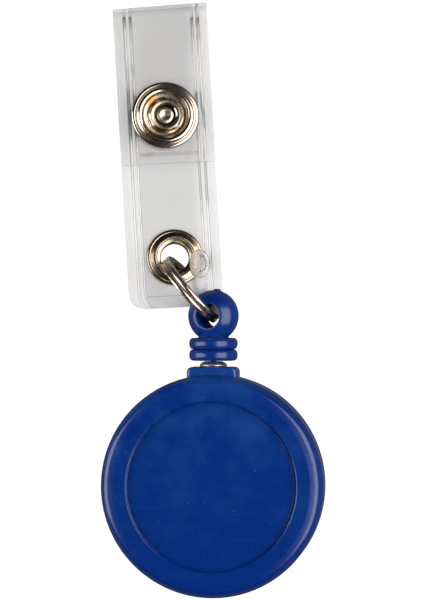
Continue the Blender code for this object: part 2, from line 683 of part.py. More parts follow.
def build_ring(nickel, parent):
    """Two turns of flat wire that cross from one coil to the other beside the wire's ends."""
    frame = ring_frame()
    swing = pivot("ring_swing_axis", frame_at(BEAD_CENTRE), parent)
    offset = (RING_WIRE_WIDTH + RING_COIL_GAP) / 2
    end_gap = 14  # degrees from the crossing to each end
    crossing = 11  # half its length, in degrees
    first_angle = -75  # of the crossing, seen from the ring's centre
    section = ring_section()
    bm = bmesh.new()
    loops = []
    sweep = 720 - 2 * end_gap
    steps = RING_STEPS * 2
    for i in range(steps + 1):
        travelled = end_gap + sweep * i / steps
        share = min(max((travelled - 360 + crossing) / (2 * crossing), 0), 1)
        ease = share * share * (3 - 2 * share)
        shift = offset * (2 * ease - 1)
        angle = math.radians(first_angle + travelled)
        outward = Vector((math.cos(angle), math.sin(angle), 0))
        loop = [outward * (RING_WIRE_LINE + x) + Vector((0, 0, shift + y)) for x, y in section]
        loops.append([bm.verts.new(point) for point in loop])
    skin(bm, loops)
    hang(object_of("split_ring", bm, nickel), frame, swing)
    return pivot("strap_turn_axis", frame, swing)


# Strap


def strap_frame():
    """The strap's frame, at the grommet on the back part's middle plane: Y runs to the fold."""
    turn = (
        Matrix.Rotation(STRAP_YAW, 4, "Z")
        @ Matrix.Rotation(STRAP_PITCH, 4, "X")
        @ Matrix.Rotation(STRAP_ROLL, 4, "Y")
    )
    origin = ring_frame() @ (Vector((RING_WIRE_LINE, 0, 0)) + GROMMET_ON_WIRE)
    return Matrix.Translation(origin) @ turn


def back_outline():
    """The back part's outline, with its free end rounded, as (x, y) points."""
    middle_y = STRAP_CORNER - STRAP_TAIL
    ends = arc((STRAP_LEFT + STRAP_CORNER, middle_y), STRAP_CORNER, 180, 270, 5)
    ends += arc((STRAP_RIGHT - STRAP_CORNER, middle_y), STRAP_CORNER, 270, 360, 5)
    return ends + [(STRAP_RIGHT, FOLD_CENTRE_Y), (STRAP_LEFT, FOLD_CENTRE_Y)]


def fold_quarter(name, side):
    """One quarter of the fold: side -1 belongs to the back part, 1 to the flap."""
    middle_z = FLAP_Z / 2
    gap = math.degrees(SEAT / 2 / FOLD_RADIUS)
    outer = arc((FOLD_CENTRE_Y, middle_z), FOLD_RADIUS, side * gap, side * 90, 6)
    inner = arc((FOLD_CENTRE_Y, middle_z), FOLD_RADIUS - VINYL, side * 90, side * gap, 6)
    back = FOLD_CENTRE_Y - VINYL
    overlap = [(back, middle_z + side * FOLD_RADIUS), (back, middle_z + side * (FOLD_RADIUS - VINYL))]
    made = object_of(name, prism(outer + overlap + inner, STRAP_LEFT, STRAP_RIGHT))
    made.data.transform(Matrix(((0, 0, 1, 0), (1, 0, 0, 0), (0, 1, 0, 0), (0, 0, 0, 1))))
    return made


def build_strap(vinyl, frame, turn_axis):
    """The back part and the flap of the strap, which open at the fold."""
    half = VINYL / 2
    back = object_of("strap_back", prism(back_outline(), -half, half), vinyl)
    hang(back, frame, turn_axis)
    quarter = fold_quarter("back_fold", -1)
    hang(quarter, frame)
    joined(back, quarter)
    punch(back, frame, "grommet_punch", 0, 0, GROMMET_HOLE_RADIUS + GROMMET_WALL + SEAT)
    punch(back, frame, "stud_punch", SNAP_SIDE, SNAP_Y, STUD_BORE_RADIUS + SEAT)

    fold_axis = frame @ frame_at((0, FOLD_CENTRE_Y + FOLD_RADIUS, FLAP_Z / 2))
    opening = pivot("flap_open_axis", fold_axis, turn_axis)
    outline = [
        (STRAP_LEFT, SNAP_Y - FLAP_MARGIN),
        (STRAP_RIGHT, SNAP_Y - FLAP_MARGIN),
        (STRAP_RIGHT, FOLD_CENTRE_Y),
        (STRAP_LEFT, FOLD_CENTRE_Y),
    ]
    flap = object_of("strap_flap", prism(outline, FLAP_Z - half, FLAP_Z + half), vinyl)
    hang(flap, frame, opening)
    quarter = fold_quarter("flap_fold", 1)
    hang(quarter, frame)
    joined(flap, quarter)
    punch(flap, frame, "barrel_punch", SNAP_SIDE, SNAP_Y, SNAP_BARREL_RADIUS + SEAT)
    return opening


def punch(part, frame, name, x, y, radius):
    """Cuts a round hole through a strap part."""
    cutter = object_of(name, cylinder(radius, -2 * MM, FLAP_Z + 2 * MM, 28))
    hang(cutter, frame @ frame_at((x, y, 0)))
    cut(part, cutter)


def build_grommet(nickel, frame, turn_axis):
    """The grommet's eyelet, whose barrel is rolled over a washer behind the strap."""
    bore = GROMMET_HOLE_RADIUS
    barrel = bore + GROMMET_WALL
    low = VINYL / 2 + SEAT
    top = low + GROMMET_FLANGE_HEIGHT
    edge = GROMMET_FLANGE_RADIUS
    washer_high = -low
    washer_low = washer_high - GROMMET_WASHER
    lip_high = washer_low - SEAT
    lip_low = lip_high - GROMMET_LIP_HEIGHT
    profile = [
        (barrel, low),
        (edge - 0.1 * MM, low),
        (edge, low + 0.15 * MM),
        (edge - 0.2 * MM, low + 0.45 * MM),
        (edge - 0.7 * MM, top),
        (bore + 0.55 * MM, top - 0.03 * MM),
        (bore + 0.15 * MM, top - 0.2 * MM),
        (bore, top - 0.5 * MM),
        (bore, lip_low + 0.25 * MM),
        (bore + 0.12 * MM, lip_low + 0.06 * MM),
        (bore + 0.35 * MM, lip_low),
        (GROMMET_LIP_RADIUS - 0.1 * MM, lip_low + 0.05 * MM),
        (GROMMET_LIP_RADIUS, lip_high),
        (barrel, lip_high),
    ]
    hang(object_of("grommet_eyelet", turned(profile, 32), nickel), frame, turn_axis)
    inner = barrel + SEAT
    profile = [
        (inner, washer_low),
        (edge - 0.2 * MM, washer_low),
        (edge, washer_low + 0.12 * MM),
        (edge, washer_high),
        (inner, washer_high),
    ]
    hang(object_of("grommet_washer", turned(profile, 32), nickel), frame, turn_axis)


def build_button(clear, frame, turn_axis):
    """The clear oval button beside the grommet, on a stem that stands on the strap."""
    low = VINYL / 2 + SEAT + GROMMET_FLANGE_HEIGHT + SEAT
    steps = 4
    profile = [(0, low)]
    dome = BUTTON_HEIGHT - BUTTON_EDGE
    for i in range(steps + 1):
        angle = math.radians(90 * i / steps)
        profile.append((math.cos(angle), low + BUTTON_EDGE + dome * math.sin(angle)))
    profile[-1] = (0, profile[-1][1])
    profile.insert(1, (BUTTON_FOOT, low))
    bm = turned(profile, 24)
    bmesh.ops.scale(bm, vec=(BUTTON_HALF_WIDTH, BUTTON_HALF_LENGTH, 1), verts=bm.verts)
    place = frame @ frame_at((GROMMET_FLANGE_RADIUS - BUTTON_OVERLAP, BUTTON_Y, 0))
    button = object_of("strap_button", bm, clear)
    hang(button, place, turn_axis)
    bar = cylinder(BUTTON_STEM_RADIUS, VINYL / 2 + SEAT, low + BUTTON_HEIGHT / 2, 16)
    stem = object_of("button_stem", bar)
    hang(stem, place @ frame_at((BUTTON_STEM_SHIFT, 0, 0)))
    joined(button, stem)


def build_snap(nickel, brass, frame, turn_axis, opening):
    """The snap fastener: cap and stud on the strap, socket and front ring on the flap."""
    place = frame @ frame_at((SNAP_SIDE, SNAP_Y, 0))
    back = -VINYL / 2 - SEAT
    stud_low = VINYL / 2 + SEAT
    stud_top = stud_low + STUD_FLANGE_HEIGHT
    socket_low = stud_top + SEAT
    socket_high = socket_low + SOCKET_HEIGHT
    ring_low = FLAP_Z + VINYL / 2 + SEAT
    ring_top = ring_low + SNAP_RING_HEIGHT
    post = STUD_BORE_RADIUS - SEAT
    post_top = stud_top + 0.3 * MM
    profile = [
        (0, back - CAP_HEIGHT),
        (CAP_RADIUS - 0.6 * MM, back - CAP_HEIGHT),
        (CAP_RADIUS - 0.15 * MM, back - CAP_HEIGHT * 0.7),
        (CAP_RADIUS, back - CAP_HEIGHT * 0.35),
        (CAP_RADIUS - 0.1 * MM, back),
        (post, back),
        (post, post_top),
        (0, post_top),
    ]
    hang(object_of("snap_back_cap", turned(profile, 32), nickel), place, turn_axis)

    head_top = ring_top - 0.55 * MM
    shoulder = socket_low + SOCKET_STEP - SEAT
    profile = [
        (0, post_top + SEAT),
        (STUD_BORE_RADIUS, post_top + SEAT),
        (STUD_BORE_RADIUS, stud_low),
        (STUD_FLANGE_RADIUS, stud_low),
        (STUD_FLANGE_RADIUS, stud_low + STUD_FLANGE_HEIGHT * 0.6),
        (STUD_FLANGE_RADIUS - 0.3 * MM, stud_top),
        (STUD_BODY_RADIUS - 0.08 * MM, stud_top),
        (STUD_BODY_RADIUS, (stud_top + shoulder) / 2),
        (STUD_BODY_RADIUS - 0.15 * MM, shoulder),
        (STUD_HEAD_RADIUS, shoulder + 0.25 * MM),
        (STUD_HEAD_RADIUS, head_top - 0.15 * MM),
        (STUD_HEAD_RADIUS - 0.15 * MM, head_top),
        (0.45 * MM, head_top - 0.08 * MM),
        (0, head_top - 0.5 * MM),
    ]
    hang(object_of("snap_stud", turned(profile, 24), brass), place, turn_axis)

    inner = STUD_BODY_RADIUS + 2 * RUN
    step = SNAP_BARREL_RADIUS + 2 * SEAT
    step_z = socket_low + SOCKET_STEP
    profile = [
        (inner, socket_low),
        (SOCKET_RADIUS - 0.3 * MM, socket_low),
        (SOCKET_RADIUS, socket_low + 0.3 * MM),
        (SOCKET_RADIUS, socket_high),
        (step, socket_high),
        (step, step_z),
        (inner, step_z),
    ]
    hang(object_of("snap_socket", turned(profile, 32), nickel), place, opening)

    barrel_low = step_z + SEAT
    profile = [
        (SNAP_WELL_RADIUS, barrel_low),
        (SNAP_BARREL_RADIUS, barrel_low),
        (SNAP_BARREL_RADIUS, ring_low),
        (SNAP_RING_RADIUS - 0.25 * MM, ring_low),
    ]
    rim = SNAP_RING_HEIGHT * 0.42
    profile += arc((SNAP_RING_RADIUS - rim, ring_low + rim), rim, -30, 150, 6)
    profile += [
        (SNAP_RING_RADIUS - 2 * rim - 0.1 * MM, ring_low + 0.42 * MM),
        (SNAP_BOSS_RADIUS + 0.35 * MM, ring_low + 0.36 * MM),
        (SNAP_BOSS_RADIUS, ring_low + 0.5 * MM),
        (SNAP_WELL_RADIUS + 0.35 * MM, ring_top),
        (SNAP_WELL_RADIUS + 0.1 * MM, ring_top - 0.05 * MM),
        (SNAP_WELL_RADIUS, ring_top - 0.25 * MM),
    ]
    hang(object_of("snap_front_ring", turned(profile, 36), nickel), place, opening)


def clear_scene():
    """Removes whatever the scene holds."""
    for item in list(bpy.data.objects):
        bpy.data.objects.remove(item)


def main():
    clear_scene()
    blue = material("blue_moulding", (0.005, 0.035, 0.2), roughness=0.35)
    white = material("white_moulding", (0.8, 0.8, 0.78), roughness=0.45)
    nickel = material("nickel", (0.72, 0.66, 0.58), metallic=1.0, roughness=0.22)
    brass = material("brass", (0.75, 0.55, 0.28), metallic=1.0, roughness=0.3)
    steel = material("spring_steel", (0.5, 0.5, 0.5), metallic=1.0, roughness=0.3)
    vinyl = material("clear_vinyl", (0.85, 0.85, 0.84), roughness=0.2, alpha=0.4)
    clear = material("clear_plastic", (0.9, 0.88, 0.85), roughness=0.1, alpha=0.5)
    blue_cord = material("blue_cord", (0.01, 0.03, 0.15), roughness=0.8)

    build_clip(steel, nickel)
    build_case(blue, cord_channel())
    build_eyelet(nickel)
    build_spool(white, steel, blue_cord)
    slide = build_cord(blue_cord)
    swivel = build_stopper(blue, slide)
    turn_axis = build_ring(nickel, swivel)
    frame = strap_frame()
    opening = build_strap(vinyl, frame, turn_axis)
    build_grommet(nickel, frame, turn_axis)
    build_button(clear, frame, turn_axis)
    build_snap(nickel, brass, frame, turn_axis, opening)


main()
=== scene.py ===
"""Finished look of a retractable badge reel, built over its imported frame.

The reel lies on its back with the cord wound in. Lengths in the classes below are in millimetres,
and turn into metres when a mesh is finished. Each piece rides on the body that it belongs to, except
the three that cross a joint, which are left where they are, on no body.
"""

import json
import logging
import math
from collections.abc import Callable, Sequence
from dataclasses import dataclass, field
from enum import Enum, IntEnum
from typing import Any, NamedTuple, Protocol

import bmesh
import bpy
from mathutils import Matrix, Vector


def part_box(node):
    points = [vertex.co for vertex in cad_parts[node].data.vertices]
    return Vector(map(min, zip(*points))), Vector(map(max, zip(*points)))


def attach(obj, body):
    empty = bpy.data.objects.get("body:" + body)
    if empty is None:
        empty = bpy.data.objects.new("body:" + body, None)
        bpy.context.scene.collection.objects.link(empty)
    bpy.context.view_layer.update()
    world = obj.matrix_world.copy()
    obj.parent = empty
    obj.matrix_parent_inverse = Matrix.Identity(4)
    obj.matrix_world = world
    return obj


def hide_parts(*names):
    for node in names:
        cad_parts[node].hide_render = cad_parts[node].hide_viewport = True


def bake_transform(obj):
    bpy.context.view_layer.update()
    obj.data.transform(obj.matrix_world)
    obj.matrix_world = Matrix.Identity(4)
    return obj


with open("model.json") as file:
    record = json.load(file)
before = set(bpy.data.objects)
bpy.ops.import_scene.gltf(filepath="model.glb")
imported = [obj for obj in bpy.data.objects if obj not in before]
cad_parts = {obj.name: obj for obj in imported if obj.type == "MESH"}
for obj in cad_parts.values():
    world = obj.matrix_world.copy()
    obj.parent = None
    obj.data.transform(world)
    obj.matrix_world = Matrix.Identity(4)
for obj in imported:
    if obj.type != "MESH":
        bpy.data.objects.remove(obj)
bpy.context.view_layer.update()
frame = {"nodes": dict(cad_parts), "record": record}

LOG = logging.getLogger("badge_reel")
MM = 0.001
TAU = 2 * math.pi
ALONG_Y = Matrix.Rotation(math.radians(-90), 4, "X")
"""Turns a spun shape's axis from +Z to +Y, the way that the cord is pulled."""

RIM_ROUND = ((1.0, 0.0), (0.62, 0.08), (0.29, 0.29), (0.08, 0.62), (0.0, 1.0))
"""A quarter round as (drop from the top, distance in from the side), both as shares of its size."""

Point = tuple[float, float]
Corner = tuple[float, float, float]
Colour = tuple[float, float, float]
Material = bpy.types.Material
Piece = bpy.types.Object
Socket = bpy.types.NodeSocket
Ring = list[bmesh.types.BMVert]


class Body(Enum):
    """The moving groups of the reel."""

    CASE = "case"
    TONGUE = "clip_tongue"
    SPOOL = "spool"
    CORD_END = "cord_end"
    STOPPER = "stopper"
    RING = "ring"
    STRAP = "strap"
    FLAP = "flap"


class Slot(Enum):
    """The material slots of the record."""

    BLUE = "blue_moulding"
    NICKEL = "nickel"
    BRASS = "brass"
    STEEL = "spring_steel"
    VINYL = "clear_vinyl"
    CLEAR = "clear_plastic"
    CORD = "blue_cord"


class StrapFace(IntEnum):
    """The material numbers of the strap's faces."""

    BACK = 0
    WELD = 1
    FLAP = 2
    BACK_BORDER = 3
    FLAP_BORDER = 4
    # Faces with painted grey shade: the weld lines' steep sides and the rows beside the cross welds.
    WELD_SHADE = 5


# ---------------------------------------------------------------------------------------------- shapes


def fillet(corners: Sequence[Corner], closed: bool = False, steps: int = 5) -> list[Point]:
    """Rounds the corners of a path.

    Args:
        corners: (radius, height, fillet radius) of each corner.
        closed: Whether the last corner joins the first.
        steps: Points on each rounded corner, less one.

    Returns:
        The path's (radius, height) points.
    """
    made: list[Point] = []
    count = len(corners)
    for i, (x, y, size) in enumerate(corners):
        here = Vector((x, y))
        if size <= 0 or (not closed and i in (0, count - 1)):
            made.append((x, y))
            continue
        back = Vector(corners[i - 1][:2]) - here
        ahead = Vector(corners[(i + 1) % count][:2]) - here
        half = back.angle(ahead) / 2
        reach = min(size / math.tan(half), back.length * 0.499, ahead.length * 0.499)
        radius = reach * math.tan(half)
        centre = here + (back.normalized() + ahead.normalized()).normalized() * radius / math.sin(half)
        first = here + back.normalized() * reach - centre
        last = here + ahead.normalized() * reach - centre
        turn = first.angle(last, 0.0)
        if turn < 1e-4:
            made.append((x, y))
            continue
        for k in range(steps + 1):
            share = k / steps
            mixed = first * math.sin((1 - share) * turn) + last * math.sin(share * turn)
            point = centre + mixed / math.sin(turn)
            made.append((point.x, point.y))
    return made


class Draft:
    """A mesh in the making, in millimetres."""

    def __init__(self) -> None:
        """Starts an empty mesh."""
        self.bm = bmesh.new()

    def loop(self, points: Sequence[Vector]) -> Ring:
        """Adds one ring of points."""
        return [self.bm.verts.new(point) for point in points]

    def skin(self, loops: Sequence[Ring], finish: Callable[[int, int], int] | None = None) -> None:
        """Joins equal rings one after the other and closes both ends.

        Args:
            loops: The rings.
            finish: Gives the material number from a ring's number and a point's number in it.
        """
        size = len(loops[0])
        for row, (first, second) in enumerate(zip(loops, loops[1:])):
            for i in range(size):
                after = (i + 1) % size
                made = self.bm.faces.new((first[i], first[after], second[after], second[i]))
                made.material_index = finish(row, i) if finish else 0
        self.bm.faces.new(loops[0][::-1])
        self.bm.faces.new(loops[-1])

    def lathe(
        self,
        profile: Sequence[Point],
        steps: int,
        closed: bool = False,
        place: Matrix | None = None,
        wobble: Callable[[float, float, float], Point] | None = None,
        finish: Callable[[int], int] | None = None,
    ) -> None:
        """Spins a profile round the Z axis.

        Args:
            profile: (radius, height) points. A radius of 0 is a point on the axis.
            steps: Points round the axis.
            closed: Whether the profile's last point joins its first.
            place: Where the spun shape goes, in millimetres.
            wobble: Changes a (radius, height) for the angle round the axis.
            finish: Gives the material number of the band after a profile point.
        """
        place = place or Matrix.Identity(4)
        rings: list[Ring] = []
        for radius, height in profile:
            if radius < 1e-6:
                rings.append([self.bm.verts.new(place @ Vector((0, 0, height)))])
                continue
            ring = []
            for i in range(steps):
                angle = TAU * i / steps
                r, z = wobble(radius, height, angle) if wobble else (radius, height)
                point = Vector((r * math.cos(angle), r * math.sin(angle), z))
                ring.append(self.bm.verts.new(place @ point))
            rings.append(ring)
        pairs = list(zip(rings, rings[1:]))
        if closed:
            pairs.append((rings[-1], rings[0]))
        for row, (first, second) in enumerate(pairs):
            if len(first) == 1 and len(second) == 1:
                continue
            for i in range(steps):
                after = (i + 1) % steps
                corners = [first[i % len(first)], first[after % len(first)]]
                corners += [second[after % len(second)], second[i % len(second)]]
                made = self.bm.faces.new(list(dict.fromkeys(corners)))
                made.material_index = finish(row) if finish else 0

    def tube(self, path: Sequence[Vector], radius: float, sides: int) -> None:
        """Adds a round bar along a path.

        Args:
            path: The middle line's points.
            radius: The bar's radius.
            sides: Points round the bar.
        """
        loops = []
        side = Vector((0, 0, 1))
        for i, point in enumerate(path):
            along = (path[min(i + 1, len(path) - 1)] - path[max(i - 1, 0)]).normalized()
            side = (side - along * side.dot(along)).normalized()
            across = along.cross(side)
            ring = []
            for k in range(sides):
                angle = TAU * k / sides
                ring.append(point + (side * math.cos(angle) + across * math.sin(angle)) * radius)
            loops.append(self.loop(ring))
        self.skin(loops)

    def slab(self, outline: Sequence[Point], low: float, high: float, edge: float) -> None:
        """Pulls a convex outline between two heights and rounds its upper rim.

        Args:
            outline: (x, y) points.
            low: Lower height.
            high: Upper height.
            edge: Size of the rounded rim.
        """
        middle = sum((Vector(p) for p in outline), Vector((0, 0))) / len(outline)
        diagonal = 1.2
        loops = []
        for z, inset in [(low, 0.0)] + [(high - edge * d, edge * i) for d, i in RIM_ROUND]:
            ring = []
            for p in outline:
                away = Vector(p) - middle
                moved = middle + away * (1 - inset / max(away.length, 1e-6) * diagonal)
                ring.append(Vector((moved.x, moved.y, z)))
            loops.append(self.loop(ring))
        self.skin(loops)

    def done(
        self,
        name: str,
        finishes: Sequence[Material],
        place: Matrix | None = None,
        sharp: float = 40,
    ) -> Piece:
        """Makes the object.

        Args:
            name: The object's name.
            finishes: Its materials, in the order of the material numbers.
            place: The frame that the mesh was made in, in metres.
            sharp: The angle in degrees over which an edge stays sharp.

        Returns:
            The object, with its place in its mesh.
        """
        bmesh.ops.remove_doubles(self.bm, verts=self.bm.verts, dist=1e-5)
        bmesh.ops.recalc_face_normals(self.bm, faces=self.bm.faces)
        mesh = bpy.data.meshes.new(name)
        self.bm.to_mesh(mesh)
        self.bm.free()
        mesh.transform((place or Matrix.Identity(4)) @ Matrix.Scale(MM, 4))
        mesh.shade_smooth()
        mesh.set_sharp_from_angle(angle=math.radians(sharp))
        for finish in finishes:
            mesh.materials.append(finish)
        made = bpy.data.objects.new(name, mesh)
        bpy.context.scene.collection.objects.link(made)
        return made


def bored(piece: Piece, cutters: Sequence[Piece], sharp: float) -> Piece:
    """Cuts shapes out of a piece and deletes them.

    Args:
        piece: The piece.
        cutters: The shapes that are taken away.
        sharp: The angle in degrees over which an edge stays sharp.

    Returns:
        The piece with its new mesh.
    """
    for cutter in cutters:
        modifier = piece.modifiers.new(cutter.name, "BOOLEAN")
        modifier.operation = "DIFFERENCE"
        modifier.solver = "EXACT"
        modifier.object = cutter
    bpy.context.view_layer.update()
    graph = bpy.context.evaluated_depsgraph_get()
    mesh = bpy.data.meshes.new_from_object(piece.evaluated_get(graph))
    piece.modifiers.clear()
    piece.data = mesh
    mesh.name = piece.name
    mesh.shade_smooth()
    mesh.set_sharp_from_angle(angle=math.radians(sharp))
    for cutter in cutters:
        bpy.data.objects.remove(cutter)
    return piece


def joined(pieces: Sequence[Piece]) -> Piece:
    """Puts the meshes of several pieces into the first one, and deletes the others.

    Args:
        pieces: The pieces.

    Returns:
        The first piece with its new mesh.
    """
    both = bmesh.new()
    for piece in pieces:
        both.from_mesh(piece.data)
    both.to_mesh(pieces[0].data)
    both.free()
    for piece in pieces[1:]:
        bpy.data.objects.remove(piece)
    return pieces[0]


def settle(piece: Piece, body: Body, slot: Slot, *nodes: str) -> None:
    """Puts a finished piece on its body and reports it.

    Args:
        piece: The finished piece.
        body: The body that it moves with.
        slot: The record's slot for its finish. Not used.
        nodes: The CAD nodes that it stands for.
    """
    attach(piece, body.value)
    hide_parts(*nodes)
    LOG.info("%s rides on %s, %d points", piece.name, body.value, len(piece.data.vertices))


def bend(
    piece: Piece, slot: Slot, bodies: tuple[Body, Body], start: Vector, end: Vector, *nodes: str
) -> None:
    """Leaves a finished piece where it is, on no body, and reports the two bodies that it crosses.

    Args:
        piece: The finished piece.
        slot: The record's slot for its finish. Not used.
        bodies: The body that it starts on and the one that it ends on.
        start: Where it leaves the first body, in metres. Not used.
        end: Where it has reached the second, in metres. Not used.
        nodes: The CAD nodes that it stands for.
    """
    first, second = (body.value for body in bodies)
    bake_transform(piece)
    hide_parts(*nodes)
    LOG.info("%s bends between %s and %s", piece.name, first, second)


def turned(
    name: str,
    corners: Sequence[Corner],
    finish: Material,
    steps: int,
    place: Matrix | None = None,
    closed: bool = True,
    rounding: int = 5,
    sharp: float = 40,
) -> Piece:
    """Spins one rounded section into a piece.

    Args:
        name: The piece's name.
        corners: (radius, height, fillet radius) of the section's corners.
        finish: Its material.
        steps: Points round the axis.
        place: The frame that it is spun in, in metres.
        closed: Whether the section's last corner joins its first.
        rounding: Points on each rounded corner, less one.
        sharp: The angle in degrees over which an edge stays sharp.

    Returns:
        The piece.
    """
    draft = Draft()
    draft.lathe(fillet(corners, closed=closed, steps=rounding), steps, closed=closed)
    return draft.done(name, [finish], place, sharp)


def joint(name: str) -> dict:
    """Returns the record's joint of this name."""
    return next(item for item in frame["record"]["behaviour"]["joints"] if item["name"] == name)


def axes_at(origin: Vector, x: Vector, y: Vector, z: Vector) -> Matrix:
    """Returns a frame with this origin and these axes."""
    return Matrix.Translation(origin) @ Matrix((x, y, z)).transposed().to_4x4()


# -------------------------------------------------------------------------------------------- finishes


class Nodes:
    """A material's node tree, with short calls for the nodes that the finishes share."""

    def __init__(self, name: str) -> None:
        """Starts a material with one Principled shader.

        Args:
            name: The material's name.
        """
        self.material = bpy.data.materials.new(name)
        self.material.use_nodes = True
        self.tree = self.material.node_tree
        self.shader = self.tree.nodes["Principled BSDF"]
        self.place = self.tree.nodes.new("ShaderNodeTexCoord").outputs["Object"]

    def plain(self, **values: float | tuple) -> None:
        """Sets sockets of the shader that are the same all over."""
        for key, value in values.items():
            self.shader.inputs[key.replace("_", " ")].default_value = value

    def along_y(self) -> Socket:
        """Returns the place along the way that the cord is pulled, in metres."""
        node = self.tree.nodes.new("ShaderNodeSeparateXYZ")
        self.tree.links.new(self.place, node.inputs["Vector"])
        return node.outputs["Y"]

    def stretched(self, scale: Sequence[float], turn: Sequence[float] = (0, 0, 0)) -> Socket:
        """Stretches and turns the object's coordinates.

        Args:
            scale: How much closer a pattern's cells lie along each axis.
            turn: Angles of rotation in radians.

        Returns:
            The coordinates.
        """
        node = self.tree.nodes.new("ShaderNodeMapping")
        node.inputs["Scale"].default_value = scale
        node.inputs["Rotation"].default_value = turn
        self.tree.links.new(self.place, node.inputs["Vector"])
        return node.outputs["Vector"]

    def noise(
        self, scale: float, detail: float, vector: Socket | None = None, rough: float = 0.5
    ) -> Socket:
        """Returns a noise pattern.

        Args:
            scale: Pattern cells in a metre.
            detail: Finer layers.
            vector: Coordinates, or the object's own.
            rough: Strength of the finer layers.

        Returns:
            The pattern, about 0.5 on average.
        """
        node = self.tree.nodes.new("ShaderNodeTexNoise")
        node.inputs["Scale"].default_value = scale
        node.inputs["Detail"].default_value = detail
        node.inputs["Roughness"].default_value = rough
        self.tree.links.new(vector or self.place, node.inputs["Vector"])
        return node.outputs["Fac"]

    def specks(self, scale: float, size: float) -> Socket:
        """Returns small round specks.

        Args:
            scale: Cells in a metre.
            size: A speck's size as a share of its cell.

        Returns:
            1 in a speck and 0 elsewhere.
        """
        node = self.tree.nodes.new("ShaderNodeTexVoronoi")
        node.inputs["Scale"].default_value = scale
        self.tree.links.new(self.place, node.inputs["Vector"])
        return self.ramp(node.outputs["Distance"], size, size * 0.5)

    def ramp(self, value: Socket, low: float, high: float) -> Socket:
        """Spreads a value from 0 at low to 1 at high, and holds it there.

        Args:
            value: The value.
            low: What becomes 0.
            high: What becomes 1.

        Returns:
            The spread value.
        """
        node = self.tree.nodes.new("ShaderNodeMapRange")
        node.inputs["From Min"].default_value = low
        node.inputs["From Max"].default_value = high
        self.tree.links.new(value, node.inputs["Value"])
        return node.outputs["Result"]

    def span(self, value: Socket, low: float, high: float) -> Socket:
        """Spreads a 0 to 1 value from low to high.

        Args:
            value: The value.
            low: What 0 becomes.
            high: What 1 becomes.

        Returns:
            The spread value.
        """
        node = self.tree.nodes.new("ShaderNodeMapRange")
        node.inputs["To Min"].default_value = low
        node.inputs["To Max"].default_value = high
        self.tree.links.new(value, node.inputs["Value"])
        return node.outputs["Result"]

    def maths(self, operation: str, first: Socket, second: Socket | float) -> Socket:
        """Puts two values together.

        Args:
            operation: The Math node's operation.
            first: The first value.
            second: The second value.

        Returns:
            The result.
        """
        node = self.tree.nodes.new("ShaderNodeMath")
        node.operation = operation
        self.tree.links.new(first, node.inputs[0])
        if isinstance(second, (int, float)):
            node.inputs[1].default_value = second
        else:
            self.tree.links.new(second, node.inputs[1])
        return node.outputs["Value"]

    def blend(self, factor: Socket, first: Socket | Colour, second: Socket | Colour) -> Socket:
        """Mixes two colours.

        Args:
            factor: The share of the second colour.
            first: The first colour.
            second: The second colour.

        Returns:
            The mixed colour.
        """
        node = self.tree.nodes.new("ShaderNodeMix")
        node.data_type = "RGBA"
        self.tree.links.new(factor, node.inputs["Factor"])
        for socket, value in ((node.inputs[6], first), (node.inputs[7], second)):
            if isinstance(value, tuple):
                socket.default_value = (*value, 1)
            else:
                self.tree.links.new(value, socket)
        return node.outputs[2]

    def uneven(self, pattern: Socket, low: float, high: float, middle: float) -> Socket:
        """Moves a value up and down by a pattern.

        Args:
            pattern: The 0 to 1 pattern.
            low: What is added where the pattern is 0.
            high: What is added where it is 1.
            middle: The value.

        Returns:
            The moved value.
        """
        return self.maths("ADD", self.span(pattern, low, high), middle)

    def feed(self, socket: str, value: Socket) -> None:
        """Links a value to one of the shader's sockets."""
        self.tree.links.new(value, self.shader.inputs[socket])

    def bump(self, height: Socket, depth: float, strength: float = 1.0) -> None:
        """Raises the surface by a pattern.

        Args:
            height: The pattern.
            depth: Its full height in metres.
            strength: How much of it shows.
        """
        node = self.tree.nodes.new("ShaderNodeBump")
        node.inputs["Distance"].default_value = depth
        node.inputs["Strength"].default_value = strength
        self.tree.links.new(height, node.inputs["Height"])
        self.tree.links.new(node.outputs["Normal"], self.shader.inputs["Normal"])


